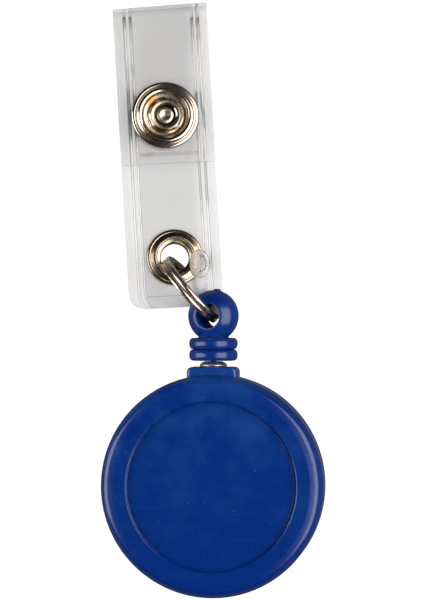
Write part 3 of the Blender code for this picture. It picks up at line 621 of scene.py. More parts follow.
@dataclass(frozen=True)
class BluePlastic:
    """Deep blue moulded plastic with fine rubbing marks, dust and paler cloudy patches that fade in
    towards the collar.
    """

    name: str = "blue_moulding"
    base: Colour = (0.0002, 0.0225, 0.176)
    pale_patch: Colour = (0.009, 0.056, 0.232)
    dust: Colour = (0.04, 0.1, 0.3)
    roughness: float = 0.2
    pale_patch_amount: float = 1.0
    shine: float = 0.5
    pale_patch_starts: float = -0.012
    pale_patch_full: float = 0.011
    rubbing: float = 0.07
    dust_amount: float = 0.7
    dust_dulling: float = 0.25
    pale_patch_cells: float = 150
    streak_cells: float = 2200
    dust_cells: float = 900
    dust_size: float = 0.09
    gathering_cells: float = 330
    wear_cells: float = 420
    skin_cells: float = 2600
    skin_depth: float = 0.000004

    def make(self) -> Material:
        """Returns the material."""
        nodes = Nodes(self.name)
        nodes.plain(IOR=1.5, Specular_IOR_Level=self.shine)
        # Paler cloudy patches, faded in along the way to the collar.
        upper = nodes.ramp(nodes.along_y(), self.pale_patch_starts, self.pale_patch_full)
        patchy = nodes.ramp(nodes.noise(self.pale_patch_cells, 6, rough=0.62), 0.4, 0.72)
        cloud = nodes.maths("MULTIPLY", nodes.maths("MULTIPLY", patchy, upper), self.pale_patch_amount)
        rubbed = nodes.stretched((0.06, 1, 1), (0, 0, -0.12))
        streak = nodes.ramp(nodes.noise(self.streak_cells, 3, rubbed), 0.5, 0.85)
        marks = nodes.maths("MULTIPLY", streak, self.rubbing * self.pale_patch_amount)
        body = nodes.blend(marks, nodes.blend(cloud, self.base, self.pale_patch), self.dust)
        gathered = nodes.ramp(nodes.noise(self.gathering_cells, 1), 0.5, 0.6)
        dust = nodes.maths("MULTIPLY", nodes.specks(self.dust_cells, self.dust_size), gathered)
        seen = nodes.maths("MULTIPLY", dust, self.dust_amount)
        nodes.feed("Base Color", nodes.blend(seen, body, self.dust))
        worn = nodes.uneven(nodes.noise(self.wear_cells, 5), -0.05, 0.07, self.roughness)
        dulled = nodes.maths("MULTIPLY", dust, self.dust_dulling)
        nodes.feed("Roughness", nodes.maths("ADD", worn, dulled))
        nodes.bump(nodes.noise(self.skin_cells, 2), self.skin_depth)
        return nodes.material


@dataclass(frozen=True)
class Plated:
    """Plated or bare metal with polishing variation and, where it is thin, the metal under it."""

    name: str
    base: Colour
    under: Colour
    roughness: float
    wear: float = 0.0
    grain: Sequence[float] = (1, 1, 1)
    grain_depth: float = 0.000002
    tarnish: float = 0.88
    tarnish_cells: float = 300
    wear_cells: float = 420
    wear_spread: float = 0.06
    grain_cells: float = 1500

    def make(self) -> Material:
        """Returns the material."""
        nodes = Nodes(self.name)
        nodes.plain(Metallic=1.0)
        tint = nodes.ramp(nodes.noise(self.tarnish_cells, 3), 0.35, 0.7)
        lively = nodes.blend(tint, self.base, tuple(self.tarnish * c for c in self.base))
        spread = self.wear_spread * self.wear
        rub = nodes.ramp(nodes.noise(self.wear_cells, 3), 0.6 - spread, 0.65 - spread)
        bare = nodes.maths("MULTIPLY", rub, self.wear)
        nodes.feed("Base Color", nodes.blend(bare, lively, self.under))
        fine = nodes.noise(self.grain_cells, 4, nodes.stretched(self.grain))
        nodes.feed("Roughness", nodes.uneven(fine, -0.06, 0.08, self.roughness))
        nodes.bump(fine, self.grain_depth)
        return nodes.material


@dataclass(frozen=True)
class Vinyl:
    """Soft clear vinyl sheet: a little cloudy, with handling marks and shallow waves."""

    name: str
    tint: Colour
    alpha: float
    roughness: float = 0.22
    cloudiness: float = 0.03
    scuffing: float = 0.05
    cloud_cells: float = 160
    scuff_cells: float = 1400
    gloss_cells: float = 500
    wave_cells: float = 140
    wave_depth: float = 0.00008
    wave_share: float = 0.35

    def make(self) -> Material:
        """Returns the material."""
        nodes = Nodes(self.name)
        nodes.plain(IOR=1.46)
        cloud = nodes.noise(self.cloud_cells, 4)
        bright = tuple((1 + self.cloudiness) * c for c in self.tint)
        dull = tuple((1 - self.cloudiness) * c for c in self.tint)
        nodes.feed("Base Color", nodes.blend(cloud, bright, dull))
        handled = nodes.stretched((0.05, 1, 1), (0, 0, 0.8))
        scuff = nodes.ramp(nodes.noise(self.scuff_cells, 3, handled), 0.68, 0.82)
        haze = nodes.uneven(cloud, -self.cloudiness, self.cloudiness, self.alpha)
        nodes.feed("Alpha", nodes.maths("ADD", haze, nodes.maths("MULTIPLY", scuff, self.scuffing)))
        gloss = nodes.uneven(nodes.noise(self.gloss_cells, 3), -0.05, 0.08, self.roughness)
        nodes.feed("Roughness", gloss)
        nodes.bump(nodes.noise(self.wave_cells, 2), self.wave_depth, self.wave_share)
        return nodes.material


@dataclass(frozen=True)
class WeldLine:
    """The pressed lines of the vinyl: mostly glassy and light, with painted dark shade where their sides
    turn away and a painted dark reflection of the snap beside it.
    """

    name: str = "weld_line"
    light: Colour = (0.95, 0.94, 0.92)
    dark: Colour = (0.03, 0.027, 0.022)
    wedge_low: float = 0.0652
    wedge_high: float = 0.0678
    wedge_end: float = 0.0002
    wedge_depth: float = 0.9
    snap_reflection_low: float = 0.049
    snap_reflection_high: float = 0.058
    snap_reflection_ease: float = 0.0015
    snap_reflection_gain: float = 0.09
    roughness: float = 0.12
    dash_cells: float = 150
    ripple_cells: float = 900
    ripple_depth: float = 0.00002

    def make(self) -> Material:
        """Returns the material."""
        nodes = Nodes(self.name)
        nodes.plain(IOR=1.46, Roughness=self.roughness)
        y = nodes.along_y()
        # Painted shade: a dark wedge on the lines just before the fold.
        rising = nodes.ramp(y, self.wedge_low, self.wedge_high)
        ending = nodes.ramp(y, self.wedge_high + self.wedge_end, self.wedge_high)
        wedge = nodes.maths("MULTIPLY", nodes.maths("MULTIPLY", rising, ending), self.wedge_depth)
        # Painted shade in broken dashes along the lines. In the band beside the snap they grow thicker
        # and darker, as a painted reflection of the snap.
        broken = nodes.noise(self.dash_cells, 2, nodes.stretched((3.0, 1.0, 1.0)))
        # The band beside the snap that holds its painted reflection.
        pressed = nodes.ramp(y, self.snap_reflection_low, self.snap_reflection_low + self.snap_reflection_ease)
        snap_reflection_fades = nodes.ramp(y, self.snap_reflection_high, self.snap_reflection_high - self.snap_reflection_ease)
        pressed = nodes.maths("MULTIPLY", pressed, snap_reflection_fades)
        gained = nodes.maths("ADD", broken, nodes.maths("MULTIPLY", pressed, self.snap_reflection_gain))
        dashes = nodes.ramp(gained, 0.53, 0.61)
        shade = nodes.maths("MULTIPLY", dashes, nodes.span(pressed, 0.38, 0.8))
        shade = nodes.maths("MAXIMUM", shade, wedge)
        nodes.feed("Base Color", nodes.blend(shade, self.light, self.dark))
        nodes.feed("Alpha", nodes.span(shade, 0.45, 0.95))
        nodes.bump(nodes.noise(self.ripple_cells, 2), self.ripple_depth)
        return nodes.material


@dataclass(frozen=True)
class Moulded:
    """Plain moulded plastic with a fine skin, opaque or clear."""

    name: str
    base: Colour
    roughness: float
    clarity: float = 0.0
    skin: float = 0.000004
    clouding: float = 0.92
    cloud_cells: float = 240
    gloss_cells: float = 700
    skin_cells: float = 1800

    def make(self) -> Material:
        """Returns the material."""
        nodes = Nodes(self.name)
        nodes.plain(IOR=1.49, Transmission_Weight=self.clarity)
        clouded = tuple(self.clouding * c for c in self.base)
        nodes.feed("Base Color", nodes.blend(nodes.noise(self.cloud_cells, 4), self.base, clouded))
        gloss = nodes.uneven(nodes.noise(self.gloss_cells, 3), -0.04, 0.06, self.roughness)
        nodes.feed("Roughness", gloss)
        nodes.bump(nodes.noise(self.skin_cells, 2), self.skin)
        return nodes.material


@dataclass(frozen=True)
class BraidedCord:
    """Round braided nylon cord: two sets of yarns that cross along its length."""

    name: str = "blue_cord"
    base: Colour = (0.008, 0.03, 0.15)
    light: Colour = (0.03, 0.08, 0.3)
    yarns_in_metre: float = 900
    lay: float = 0.7
    yarn_depth: float = 0.00006

    def make(self) -> Material:
        """Returns the material."""
        nodes = Nodes(self.name)
        nodes.plain(Roughness=0.75)
        weave = []
        for turn in (self.lay, -self.lay):
            wave = nodes.tree.nodes.new("ShaderNodeTexWave")
            wave.inputs["Scale"].default_value = self.yarns_in_metre
            wave.inputs["Distortion"].default_value = 0.6
            laid = nodes.stretched((1, 1, 1), (turn, turn, turn))
            nodes.tree.links.new(laid, wave.inputs["Vector"])
            weave.append(wave.outputs["Fac"])
        yarns = nodes.maths("MULTIPLY", weave[0], weave[1])
        nodes.feed("Base Color", nodes.blend(yarns, self.base, self.light))
        nodes.bump(yarns, self.yarn_depth)
        return nodes.material


class Finish(Protocol):
    """Anything that makes a material."""

    def make(self) -> Material:
        """Returns the material."""


def made_of(finish: Finish) -> Any:
    """Declares an entry of the palette, which is made with it."""
    return field(default_factory=finish.make)


@dataclass
class Palette:
    """Every finish of the reel, made once."""

    blue: Material = made_of(BluePlastic())
    stopper_blue: Material = made_of(BluePlastic("stopper_blue", roughness=0.24, pale_patch_amount=0.3))
    bore_blue: Material = made_of(BluePlastic("bore_blue", roughness=0.75, pale_patch_amount=0.0, shine=0.12))
    nickel: Material = made_of(Plated("nickel", (0.46, 0.37, 0.275), (0.32, 0.23, 0.14), 0.21, 0.35))
    ring_nickel: Material = made_of(Plated("ring_nickel", (0.7, 0.6, 0.49), (0.5, 0.4, 0.3), 0.24, 0.15))
    worn_nickel: Material = made_of(
        Plated("worn_nickel", (0.5, 0.41, 0.3), (0.42, 0.22, 0.05), 0.26, 0.95)
    )
    eyelet_metal: Material = made_of(
        Plated("eyelet_metal", (0.8, 0.78, 0.75), (0.5, 0.47, 0.42), 0.4, 0.3)
    )
    snap_nickel: Material = made_of(
        Plated("snap_nickel", (0.64, 0.55, 0.46), (0.46, 0.35, 0.23), 0.15, 0.2)
    )
    brass: Material = made_of(Plated("brass", (0.6, 0.49, 0.37), (0.45, 0.33, 0.2), 0.3, 0.4))
    steel: Material = made_of(
        Plated("spring_steel", (0.58, 0.57, 0.55), (0.4, 0.38, 0.35), 0.28, 0.1, (1, 0.03, 1), 0.000004)
    )
    back_vinyl: Material = made_of(Vinyl("clear_vinyl", (0.66, 0.65, 0.64), 0.58))
    flap_vinyl: Material = made_of(Vinyl("flap_vinyl", (0.68, 0.67, 0.66), 0.26))
    back_border: Material = made_of(Vinyl("border_vinyl", (0.74, 0.72, 0.7), 0.42))
    flap_border: Material = made_of(Vinyl("flap_border_vinyl", (0.74, 0.72, 0.7), 0.17))
    weld: Material = made_of(WeldLine())
    # Painted grey shade for the weld lines' steep sides and the rows beside the cross welds.
    weld_side_shade: Material = made_of(WeldLine("weld_side_shade", light=(0.34, 0.33, 0.315)))
    clear: Material = made_of(Moulded("clear_plastic", (0.97, 0.95, 0.92), 0.05, 0.75, 0.000001))
    white: Material = made_of(Moulded("white_moulding", (0.78, 0.78, 0.75), 0.42))
    cord: Material = made_of(BraidedCord())


# --------------------------------------------------------------------------------------------- the reel


@dataclass
class Reel:
    """The case with its label seat, its collar and the collar's eyelet."""

    palette: Palette
    radius: float = field(init=False)
    back_z: float = field(init=False)
    front_z: float = field(init=False)
    parting_z: float = field(init=False)
    collar_top: float = field(init=False)
    wall: float = 1.4
    seat_radius: float = 12.2
    seat_depth: float = 0.7
    edge: float = 1.3
    seam: float = 0.08
    collar_half_width: float = 3.65
    collar_half_depth: float = 2.75
    collar_corner: float = 0.75
    collar_rim: float = 0.5
    collar_bite: float = 1.1
    way_radius: float = 1.1
    way_start: float = 13.5
    way_end: float = 18.5
    eyelet_bore: float = 1.45
    eyelet_start: float = 15.6
    floor: float = 1.2
    axle_radius: float = 2.0
    axle_height: float = 5.4
    rivet_hole: float = 1.25
    rivet_depth: float = 1.45
    steps: int = 160
    sharp: float = 32

    def __post_init__(self) -> None:
        """Takes the case's sizes from the frame."""
        back_low, back_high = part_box("back_cover")
        front_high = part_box("front_cover")[1]
        self.radius = back_high.x / MM
        self.back_z = back_low.z / MM
        self.front_z = front_high.z / MM
        self.parting_z = (self.back_z + self.front_z) / 2
        self.collar_top = front_high.y / MM

    def build(self) -> None:
        """Builds and dresses the covers and the eyelet."""
        self.front_cover()
        self.back_cover()
        self.eyelet()

    def cord_axis(self) -> Matrix:
        """Returns the frame whose Z axis is the cord's way out, in millimetres."""
        return Matrix.Translation((0, 0, self.parting_z)) @ ALONG_Y

    def way_out(self) -> Piece:
        """Returns the cutter for the cord's way out through the collar."""
        profile = [
            (0, self.way_start),
            (self.way_radius, self.way_start),
            (self.way_radius, self.eyelet_start),
            (self.eyelet_bore, self.eyelet_start + 0.05),
            (self.eyelet_bore, self.way_end),
            (0, self.way_end),
        ]
        draft = Draft()
        draft.lathe(profile, 40, place=self.cord_axis())
        return draft.done("way_out", [])

    def collar(self, low: float, high: float, up: bool) -> Piece:
        """Makes one half of the collar, bored for the cord.

        Args:
            low: The half's lower height.
            high: The half's upper height.
            up: Whether the upper rim is the rounded one, not the lower.

        Returns:
            The half.
        """
        half = self.collar_half_width
        inner = self.radius - self.collar_bite
        top, corner = self.collar_top, self.collar_corner
        corners = [(-half, inner, 0), (half, inner, 0), (half, top, corner), (-half, top, corner)]
        outline = fillet(corners, closed=True, steps=6)
        draft = Draft()
        if up:
            draft.slab(outline, low, high, self.collar_rim)
        else:
            draft.slab(outline, -high, -low, self.collar_rim)
            bmesh.ops.scale(draft.bm, vec=(1, 1, -1), verts=draft.bm.verts)
        half_collar = draft.done("collar_half", [self.palette.blue], sharp=self.sharp)
        return bored(half_collar, [self.way_out()], self.sharp)

    def cover(self, name: str, profile: Sequence[Point]) -> Piece:
        """Spins a cover from its section and bores it for the cord.

        Args:
            name: The cover's name.
            profile: (radius, height) points of its section.

        Returns:
            The cover.
        """
        draft = Draft()
        draft.lathe(profile, self.steps)
        shell = draft.done(name, [self.palette.blue], sharp=self.sharp)
        return bored(shell, [self.way_out()], self.sharp)

    def front_cover(self) -> None:
        """Builds the front cover with its recessed label seat."""
        seat_z = self.front_z - self.seat_depth
        low = self.parting_z + self.seam
        inner = self.radius - self.wall
        # From the seat's middle out over the rim, down the side and back under the front.
        profile = fillet(
            [
                (0, seat_z, 0),
                (self.seat_radius - 0.35, seat_z, 0.1),
                (self.seat_radius - 0.22, seat_z - 0.05, 0.05),
                (self.seat_radius, seat_z - 0.05, 0.06),
                (self.seat_radius + 0.04, self.front_z, 0.16),
                (self.radius - 1.9, self.front_z, 1.4),
                (self.radius - 0.7, self.front_z - 0.19, 1.1),
                (self.radius, self.front_z - 1.25, 1.1),
                (self.radius, low + 0.02, 0.12),
                (self.radius - 0.3, low, 0.02),
                (inner, low, 0),
                (inner, seat_z - 1, 0),
                (0, seat_z - 1, 0),
            ],
            steps=8,
        )
        shell = self.cover("case_front", profile)
        whole = joined([shell, self.collar(low, self.parting_z + self.collar_half_depth, True)])
        settle(whole, Body.CASE, Slot.BLUE, "front_cover")

    def back_cover(self) -> None:
        """Builds the back cover with its rivet hole, shallow moulding ring, spigot and axle."""
        high = self.parting_z
        floor = self.back_z + self.floor
        inner = self.radius - self.wall
        spigot = inner + 0.5
        # From the rivet's hole out over the back, up the side, down inside and up the axle.
        profile = fillet(
            [
                (self.rivet_hole, floor + self.rivet_depth, 0),
                (self.rivet_hole, self.back_z, 0.1),
                (11.2, self.back_z, 0.1),
                (11.35, self.back_z + 0.18, 0.08),
                (11.75, self.back_z + 0.18, 0.08),
                (11.9, self.back_z, 0.1),
                (self.radius, self.back_z, self.edge),
                (self.radius, high - 0.02, 0.12),
                (self.radius - 0.3, high, 0.02),
                (spigot, high, 0.02),
                (spigot, high + 0.7, 0.1),
                (inner, high + 0.7, 0.05),
                (inner, floor, 0.3),
                (self.axle_radius, floor, 0.1),
                (self.axle_radius, floor + self.axle_height, 0.1),
                (0, floor + self.axle_height, 0),
            ],
            steps=8,
        )
        shell = self.cover("case_back", [(0, floor + self.rivet_depth)] + profile)
        whole = joined([shell, self.collar(self.parting_z - self.collar_half_depth, high, False)])
        settle(whole, Body.CASE, Slot.BLUE, "back_cover")

    def eyelet(self) -> None:
        """Builds the rolled metal eyelet that the cord runs through."""
        low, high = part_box("cord_eyelet")
        start, top, outer = low.y / MM, high.y / MM, high.x / MM
        flange = self.collar_top + 0.04
        # From the bore's inner end out over the flange and back round the rolled mouth.
        profile = fillet(
            [
                (0.9, start, 0.05),
                (1.4, start, 0.05),
                (1.4, flange, 0),
                (outer - 0.08, flange, 0.05),
                (outer, flange + 0.2, 0.1),
                (outer - 0.12, flange + 0.4, 0.12),
                (1.5, top - 0.1, 0.3),
                (1.15, top, 0.15),
                (0.9, top - 0.35, 0.2),
            ],
            closed=True,
        )
        draft = Draft()
        draft.lathe(profile, 64, closed=True, place=self.cord_axis())
        piece = draft.done("collar_eyelet", [self.palette.eyelet_metal])
        settle(piece, Body.CASE, Slot.NICKEL, "cord_eyelet")


@dataclass
class BeltClip:
    """The bent spring-steel clip and its tubular rivet."""

    palette: Palette
    width: float = 9.0
    thickness: float = 0.7
    corner: float = 2.2
    edge: float = 0.2
    bend_y: float = -12.4
    leg_end: float = 10.0
    bump_start: float = 7.4
    bump_y: float = 10.6
    bump_height: float = 1.95
    tongue_end: float = 12.6
    tongue_lift: float = 0.65
    piece_length: float = 1.2
    narrowing: float = 0.1
    narrow_reach: float = 9.0

    def middle_line(self) -> list[Point]:
        """Returns the strip's middle line as (y, z) points, from the leg's end to the tongue's."""
        leg_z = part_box("belt_clip_leg")[1].z / MM - self.thickness / 2
        low_z = self.thickness / 2
        radius = (leg_z - low_z) / 2
        corners = [
            (self.leg_end, leg_z, 0),
            (self.bend_y - radius, leg_z, radius * 0.99),
            (self.bend_y - radius, low_z, radius * 0.99),
            (self.bump_start, low_z, 3.0),
            (self.bump_y, low_z + self.bump_height, 0.9),
            (self.tongue_end, low_z + self.tongue_lift, 0),
        ]
        rough = fillet(corners, steps=14)
        fine: list[Point] = []
        for (y0, z0), (y1, z1) in zip(rough, rough[1:]):
            pieces = max(1, int(math.hypot(y1 - y0, z1 - z0) / self.piece_length))
            fine += [(y0 + (y1 - y0) * k / pieces, z0 + (z1 - z0) * k / pieces) for k in range(pieces)]
        return fine + [rough[-1]]

    def half_width(self, from_end: float) -> float:
        """Narrows the strip near a rounded end.

        Args:
            from_end: Distance from the end, along the strip.

        Returns:
            The half width in millimetres.
        """
        if from_end >= self.corner:
            return self.width / 2
        reach = max(self.corner**2 - (self.corner - from_end) ** 2, 0.0)
        return self.width / 2 - self.corner + math.sqrt(reach)

    def build(self) -> None:
        """Builds and dresses the clip and the rivet."""
        line = self.middle_line()
        lengths = [0.0]
        for (y0, z0), (y1, z1) in zip(line, line[1:]):
            lengths.append(lengths[-1] + math.hypot(y1 - y0, z1 - z0))
        draft = Draft()
        loops = []
        for i, (y, z) in enumerate(line):
            after, before = line[min(i + 1, len(line) - 1)], line[max(i - 1, 0)]
            along = Vector((0, after[0] - before[0], after[1] - before[1])).normalized()
            normal = Vector((1, 0, 0)).cross(along)
            half = self.half_width(min(lengths[i], lengths[-1] - lengths[i]))
            from_middle = (lengths[i] - lengths[-1] / 2) / self.narrow_reach
            thinned = 1 - self.narrowing * math.exp(-(from_middle**4))
            thick = self.thickness / 2
            section = fillet(
                [
                    (-half, -thick, self.edge),
                    (half, -thick, self.edge),
                    (half, thick, self.edge),
                    (-half, thick, self.edge),
                ],
                closed=True,
                steps=3,
            )
            loops.append(draft.loop([Vector((x, y, z)) + normal * (h * thinned) for x, h in section]))
        draft.skin(loops)
        clip = draft.done("belt_clip", [self.palette.steel], sharp=50)
        leg_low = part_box("belt_clip_leg")[1].z / MM - self.thickness
        start = Vector((0, 0, (leg_low + 0.02) * MM))
        end = Vector((0, 0, (leg_low - 0.4) * MM))
        bend(clip, Slot.STEEL, (Body.CASE, Body.TONGUE), start, end, "belt_clip_leg", "belt_clip_tongue")
        self.rivet(leg_low)

    def rivet(self, leg_low: float) -> None:
        """Builds the tubular rivet.

        Args:
            leg_low: Height of the leg's inner face.
        """
        low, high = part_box("clip_rivet")
        head, top, outer = low.z / MM, high.z / MM, high.x / MM
        corners = [
            (0.6, top, 0),
            (0.6, head + 0.12, 0.1),
            (1.2, head, 0.3),
            (outer - 0.2, head + 0.1, 0.3),
            (outer, leg_low - 0.06, 0.05),
            (1.2, leg_low - 0.05, 0),
            (1.2, top, 0),
        ]
        piece = turned("tubular_rivet", corners, self.palette.nickel, 56)
        settle(piece, Body.CASE, Slot.NICKEL, "clip_rivet")


@dataclass
class CordAndSpool:
    """The spool, the mainspring and the cord with its turns and knot."""

    palette: Palette
    radius: float = 0.4
    layers: int = 2
    turns_in_layer: int = 4
    turn_steps: int = 40
    layer_step: float = 1.72
    core_depth: float = 1.1
    core_wall: float = 2.05
    way_in_y: float = 15.0
    held_y: float = 17.0
    bend_in: float = 1.8
    bend_out: float = 1.6
    bend_steps: int = 9
    lead_steps: int = 5
    run_steps: int = 24
    knot_steps: int = 60

    def build(self) -> None:
        """Builds the cord's pieces and dresses the spool's."""
        low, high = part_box("cord_knot")
        height = (low.z + high.z) / 2 / MM
        self.turns()
        self.run(height)
        self.knot(height)
        for name, finish in (
            ("spool", self.palette.white),
            ("spring_cover", self.palette.white),
            ("mainspring", self.palette.steel),
        ):
            node = frame["nodes"][name]
            node.data.materials.clear()
            node.data.materials.append(finish)
            LOG.info("%s keeps its shape and takes %s", name, finish.name)

    def turns(self) -> None:
        """Builds the outer layers of cord on the drum, turn by turn, over the layers under them."""
        low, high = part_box("cord_winding")
        outer = high.x / MM - self.radius
        bottom = low.z / MM + self.radius
        top = high.z / MM - self.radius
        count = self.turns_in_layer * self.turn_steps
        path = []
        for layer in range(self.layers):
            r = outer - (self.layers - 1 - layer) * self.radius * self.layer_step
            for i in range(count + 1):
                share = i / count
                z = bottom + (top - bottom) * (share if layer % 2 == 0 else 1 - share)
                angle = TAU * share * self.turns_in_layer
                path.append(Vector((r * math.cos(angle), r * math.sin(angle), z)))
        draft = Draft()
        draft.tube(path, self.radius, 10)
        drum = abs(low.x) / MM - self.core_wall
        core = outer - self.core_depth
        section = [(drum, bottom - 0.3), (core, bottom - 0.3), (core, top + 0.3), (drum, top + 0.3)]
        draft.lathe(section, 64, closed=True)
        piece = draft.done("cord_turns", [self.palette.cord])
        settle(piece, Body.SPOOL, Slot.CORD, "cord_winding")

    def run(self, height: float) -> None:
        """Builds the cord from the winding through the eyelet, at its wound-in length; the real run
        grows longer as it is pulled.

        Args:
            height: The cord's height.
        """
        low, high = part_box("cord_run")
        end = high.y / MM
        start = Vector((low.x / MM + 0.3, low.y / MM + 0.3, height))
        corner = Vector((0, self.way_in_y, height))
        finish = Vector((0, end, height))
        bend_start = corner - (corner - start).normalized() * self.bend_in
        bend_end = corner + Vector((0, self.bend_out, 0))
        path = [start.lerp(bend_start, i / self.lead_steps) for i in range(self.lead_steps)]
        for i in range(self.bend_steps + 1):
            t = i / self.bend_steps
            path.append(bend_start * (1 - t) ** 2 + corner * 2 * t * (1 - t) + bend_end * t**2)
        path += [bend_end.lerp(finish, (i + 1) / self.run_steps) for i in range(self.run_steps)]
        draft = Draft()
        draft.tube(path, self.radius, 14)
        cord = draft.done("pull_cord", [self.palette.cord])
        held = Vector((0, self.held_y * MM, 0))
        pulled = Vector((0, (end - 0.1) * MM, 0))
        bend(cord, Slot.CORD, (Body.CASE, Body.CORD_END), held, pulled, "cord_run")

    def knot(self, height: float) -> None:
        """Builds the overhand knot inside the stopper.

        Args:
            height: The cord's height.
        """
        low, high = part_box("cord_knot")
        centre = Vector((0, (low.y + high.y) / 2 / MM, height))
        size = (high.x - low.x) / 2 / MM - self.radius
        path = []
        for i in range(self.knot_steps + 1):
            angle = TAU * i / self.knot_steps
            x = (math.sin(angle) + 2 * math.sin(2 * angle)) / 3
            y = (math.cos(angle) - 2 * math.cos(2 * angle)) / 3
            path.append(centre + Vector((x, y, -math.sin(3 * angle) * 0.8)) * size)
        draft = Draft()
        draft.tube(path, self.radius, 10)
        piece = draft.done("stopper_knot", [self.palette.cord])
        settle(piece, Body.CORD_END, Slot.CORD, "cord_knot")


# ------------------------------------------------------------------------------------ stopper and ring


@dataclass
class Stopper:
    """The blue stopper: two rings, a neck and a bead with a cross bore."""

    palette: Palette
    ring_radius: float = 3.5
    ring_height: float = 1.65
    ring_bulge: float = 0.75
    ring_steps: int = 16
    ring_span: float = 0.98
    ring_fullness: float = 0.62
    neck_reach: float = 0.86
    neck_radius: float = 2.05
    cord_way: float = 0.55
    knot_room: float = 1.0
    knot_end: float = -2.1
    bead_radius: float = 3.72
    bead_half: float = 3.0
    bead_steps: int = 40
    bore_radius: float = 1.75
    mouth: float = 0.3

    def build(self) -> None:
        """Builds and dresses the stopper."""
        centre = Vector(joint("ring_swing")["pos_m"]) / MM
        bore_axis = Vector(joint("ring_swing")["axis"])
        draft = Draft()
        self.stem(draft, centre)
        self.bead(draft, centre, bore_axis)
        self.gate(draft, centre)
        finishes = [self.palette.stopper_blue, self.palette.bore_blue]
        stopper = draft.done("cord_stopper", finishes, sharp=35)
        settle(stopper, Body.STOPPER, Slot.BLUE, "stopper")

    def stem(self, draft: Draft, centre: Vector) -> None:
        """Adds the two rings and the neck, hollow for the cord and its knot.

        Args:
            draft: The stopper's mesh.
            centre: The bead's centre.
        """
        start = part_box("stopper")[0].y / MM - centre.y
        step = self.ring_height
        rings_end = start + 2 * step
        waist = self.ring_radius - self.ring_bulge
        corners: list[Corner] = [(self.cord_way, start + 0.02, 0.1)]
        for middle in (start + step / 2, start + 1.5 * step):
            for i in range(self.ring_steps + 1):
                angle = math.pi * (i / self.ring_steps - 0.5) * self.ring_span
                reach = waist + (self.ring_radius - waist) * math.cos(angle) ** self.ring_fullness
                corners.append((reach, middle + step / 2 * math.sin(angle), 0))
        corners += [
            (self.neck_radius + 0.12, rings_end + 0.02, 0.25),
            (self.neck_radius, rings_end + 0.5, 0.3),
            (self.neck_radius, -self.bead_radius * self.neck_reach, 0.5),
            (self.neck_radius + 0.35, self.knot_end, 0),
            (self.knot_room, self.knot_end, 0),
            (self.knot_room, start + step, 0.2),
            (self.cord_way, start + step - 0.3, 0.1),
        ]
        place = Matrix.Translation(centre) @ ALONG_Y
        draft.lathe(fillet(corners, closed=True, steps=6), 96, closed=True, place=place)

    def bead(self, draft: Draft, centre: Vector, bore_axis: Vector) -> None:
        """Adds the bead as a turned shape round its own bore, with softly rounded mouths.

        Args:
            draft: The stopper's mesh.
            centre: The bead's centre.
            bore_axis: The direction of its bore.
        """
        bore, lip = self.bore_radius, self.bore_radius + self.mouth
        first = math.asin(lip / self.bead_radius)
        profile: list[Point] = []
        for i in range(self.bead_steps + 1):
            angle = first + (math.pi - 2 * first) * i / self.bead_steps
            profile.append((self.bead_radius * math.sin(angle), -self.bead_half * math.cos(angle)))
        height = self.bead_half * math.sqrt(1 - (lip / self.bead_radius) ** 2)
        rim = fillet([(lip, height, 0), (bore, height + 0.02, 0.26), (bore, 0, 0)], steps=6)
        upper = rim[1:-1]
        profile += upper + [(bore, 0)] + [(r, -z) for r, z in upper[::-1]]

        def finish(row: int) -> int:
            """Returns the matt finish inside the bore, and the plain one outside."""
            return 1 if profile[row][0] < bore + 0.03 else 0

        turn = Vector((0, 0, 1)).rotation_difference(bore_axis).to_matrix().to_4x4()
        draft.lathe(profile, 112, closed=True, place=Matrix.Translation(centre) @ turn, finish=finish)

    def gate(self, draft: Draft, centre: Vector) -> None:
        """Adds the small nub that the moulding gate left on top of the bead.

        Args:
            draft: The stopper's mesh.
            centre: The bead's centre.
        """
        place = Matrix.Translation(centre + Vector((0.5, self.bead_radius - 0.25, 0.1))) @ ALONG_Y
        nub = fillet([(0, 0.42, 0), (0.52, 0.38, 0.2), (0.6, 0, 0), (0, -0.1, 0)], steps=4)
        draft.lathe(nub, 20, place=place)


@dataclass
class SplitRing:
    """Two coils of rounded flat wire."""

    palette: Palette
    radius: float = 5.8
    depth: float = 1.2
    width: float = 0.72
    gap: float = 0.05
    start_angle: float = -75.0
    end_gap: float = 14.0
    crossing: float = 11.0
    end_size: float = 0.93
    steps: int = 240

    @staticmethod
    def place() -> Matrix:
        """Returns the ring's frame: X from the bead to the grommet, Z the ring's axis."""
        centre = Vector(joint("strap_turn")["pos_m"])
        axis = Vector(joint("strap_turn")["axis"]).normalized()
        along = centre - Vector(joint("ring_swing")["pos_m"])
        along = (along - axis * along.dot(axis)).normalized()
        return axes_at(centre, along, axis.cross(along), axis)

    def build(self) -> None:
        """Builds and dresses the ring."""
        outer, side = self.depth / 2, self.width / 2
        corners = [(outer, -side, 0.16), (outer, side, 0.3), (-outer, side, 0.26), (-outer, -side, 0.16)]
        section = fillet(corners, closed=True, steps=4)
        offset = (self.width + self.gap) / 2
        sweep = 720 - 2 * self.end_gap
        middle = self.radius - outer
        draft = Draft()
        loops = []
        for i in range(self.steps + 1):
            travelled = self.end_gap + sweep * i / self.steps
            share = min(max((travelled - 360 + self.crossing) / (2 * self.crossing), 0), 1)
            shift = offset * (2 * share * share * (3 - 2 * share) - 1)
            angle = math.radians(self.start_angle + travelled)
            outward = Vector((math.cos(angle), math.sin(angle), 0))
            size = self.end_size if i in (0, self.steps) else 1.0
            ring = [outward * (middle + x * size) + Vector((0, 0, shift + y * size)) for x, y in section]
            loops.append(draft.loop(ring))
        draft.skin(loops)
        ring_piece = draft.done("key_ring", [self.palette.ring_nickel], self.place(), sharp=55)
        settle(ring_piece, Body.RING, Slot.NICKEL, "split_ring")


# ------------------------------------------------------------------------------------------- the strap


class Row(NamedTuple):
    """A place along the strap's middle: its point, the angle that it runs at and its distance along."""

    y: float
    z: float
    angle: float
    along: float


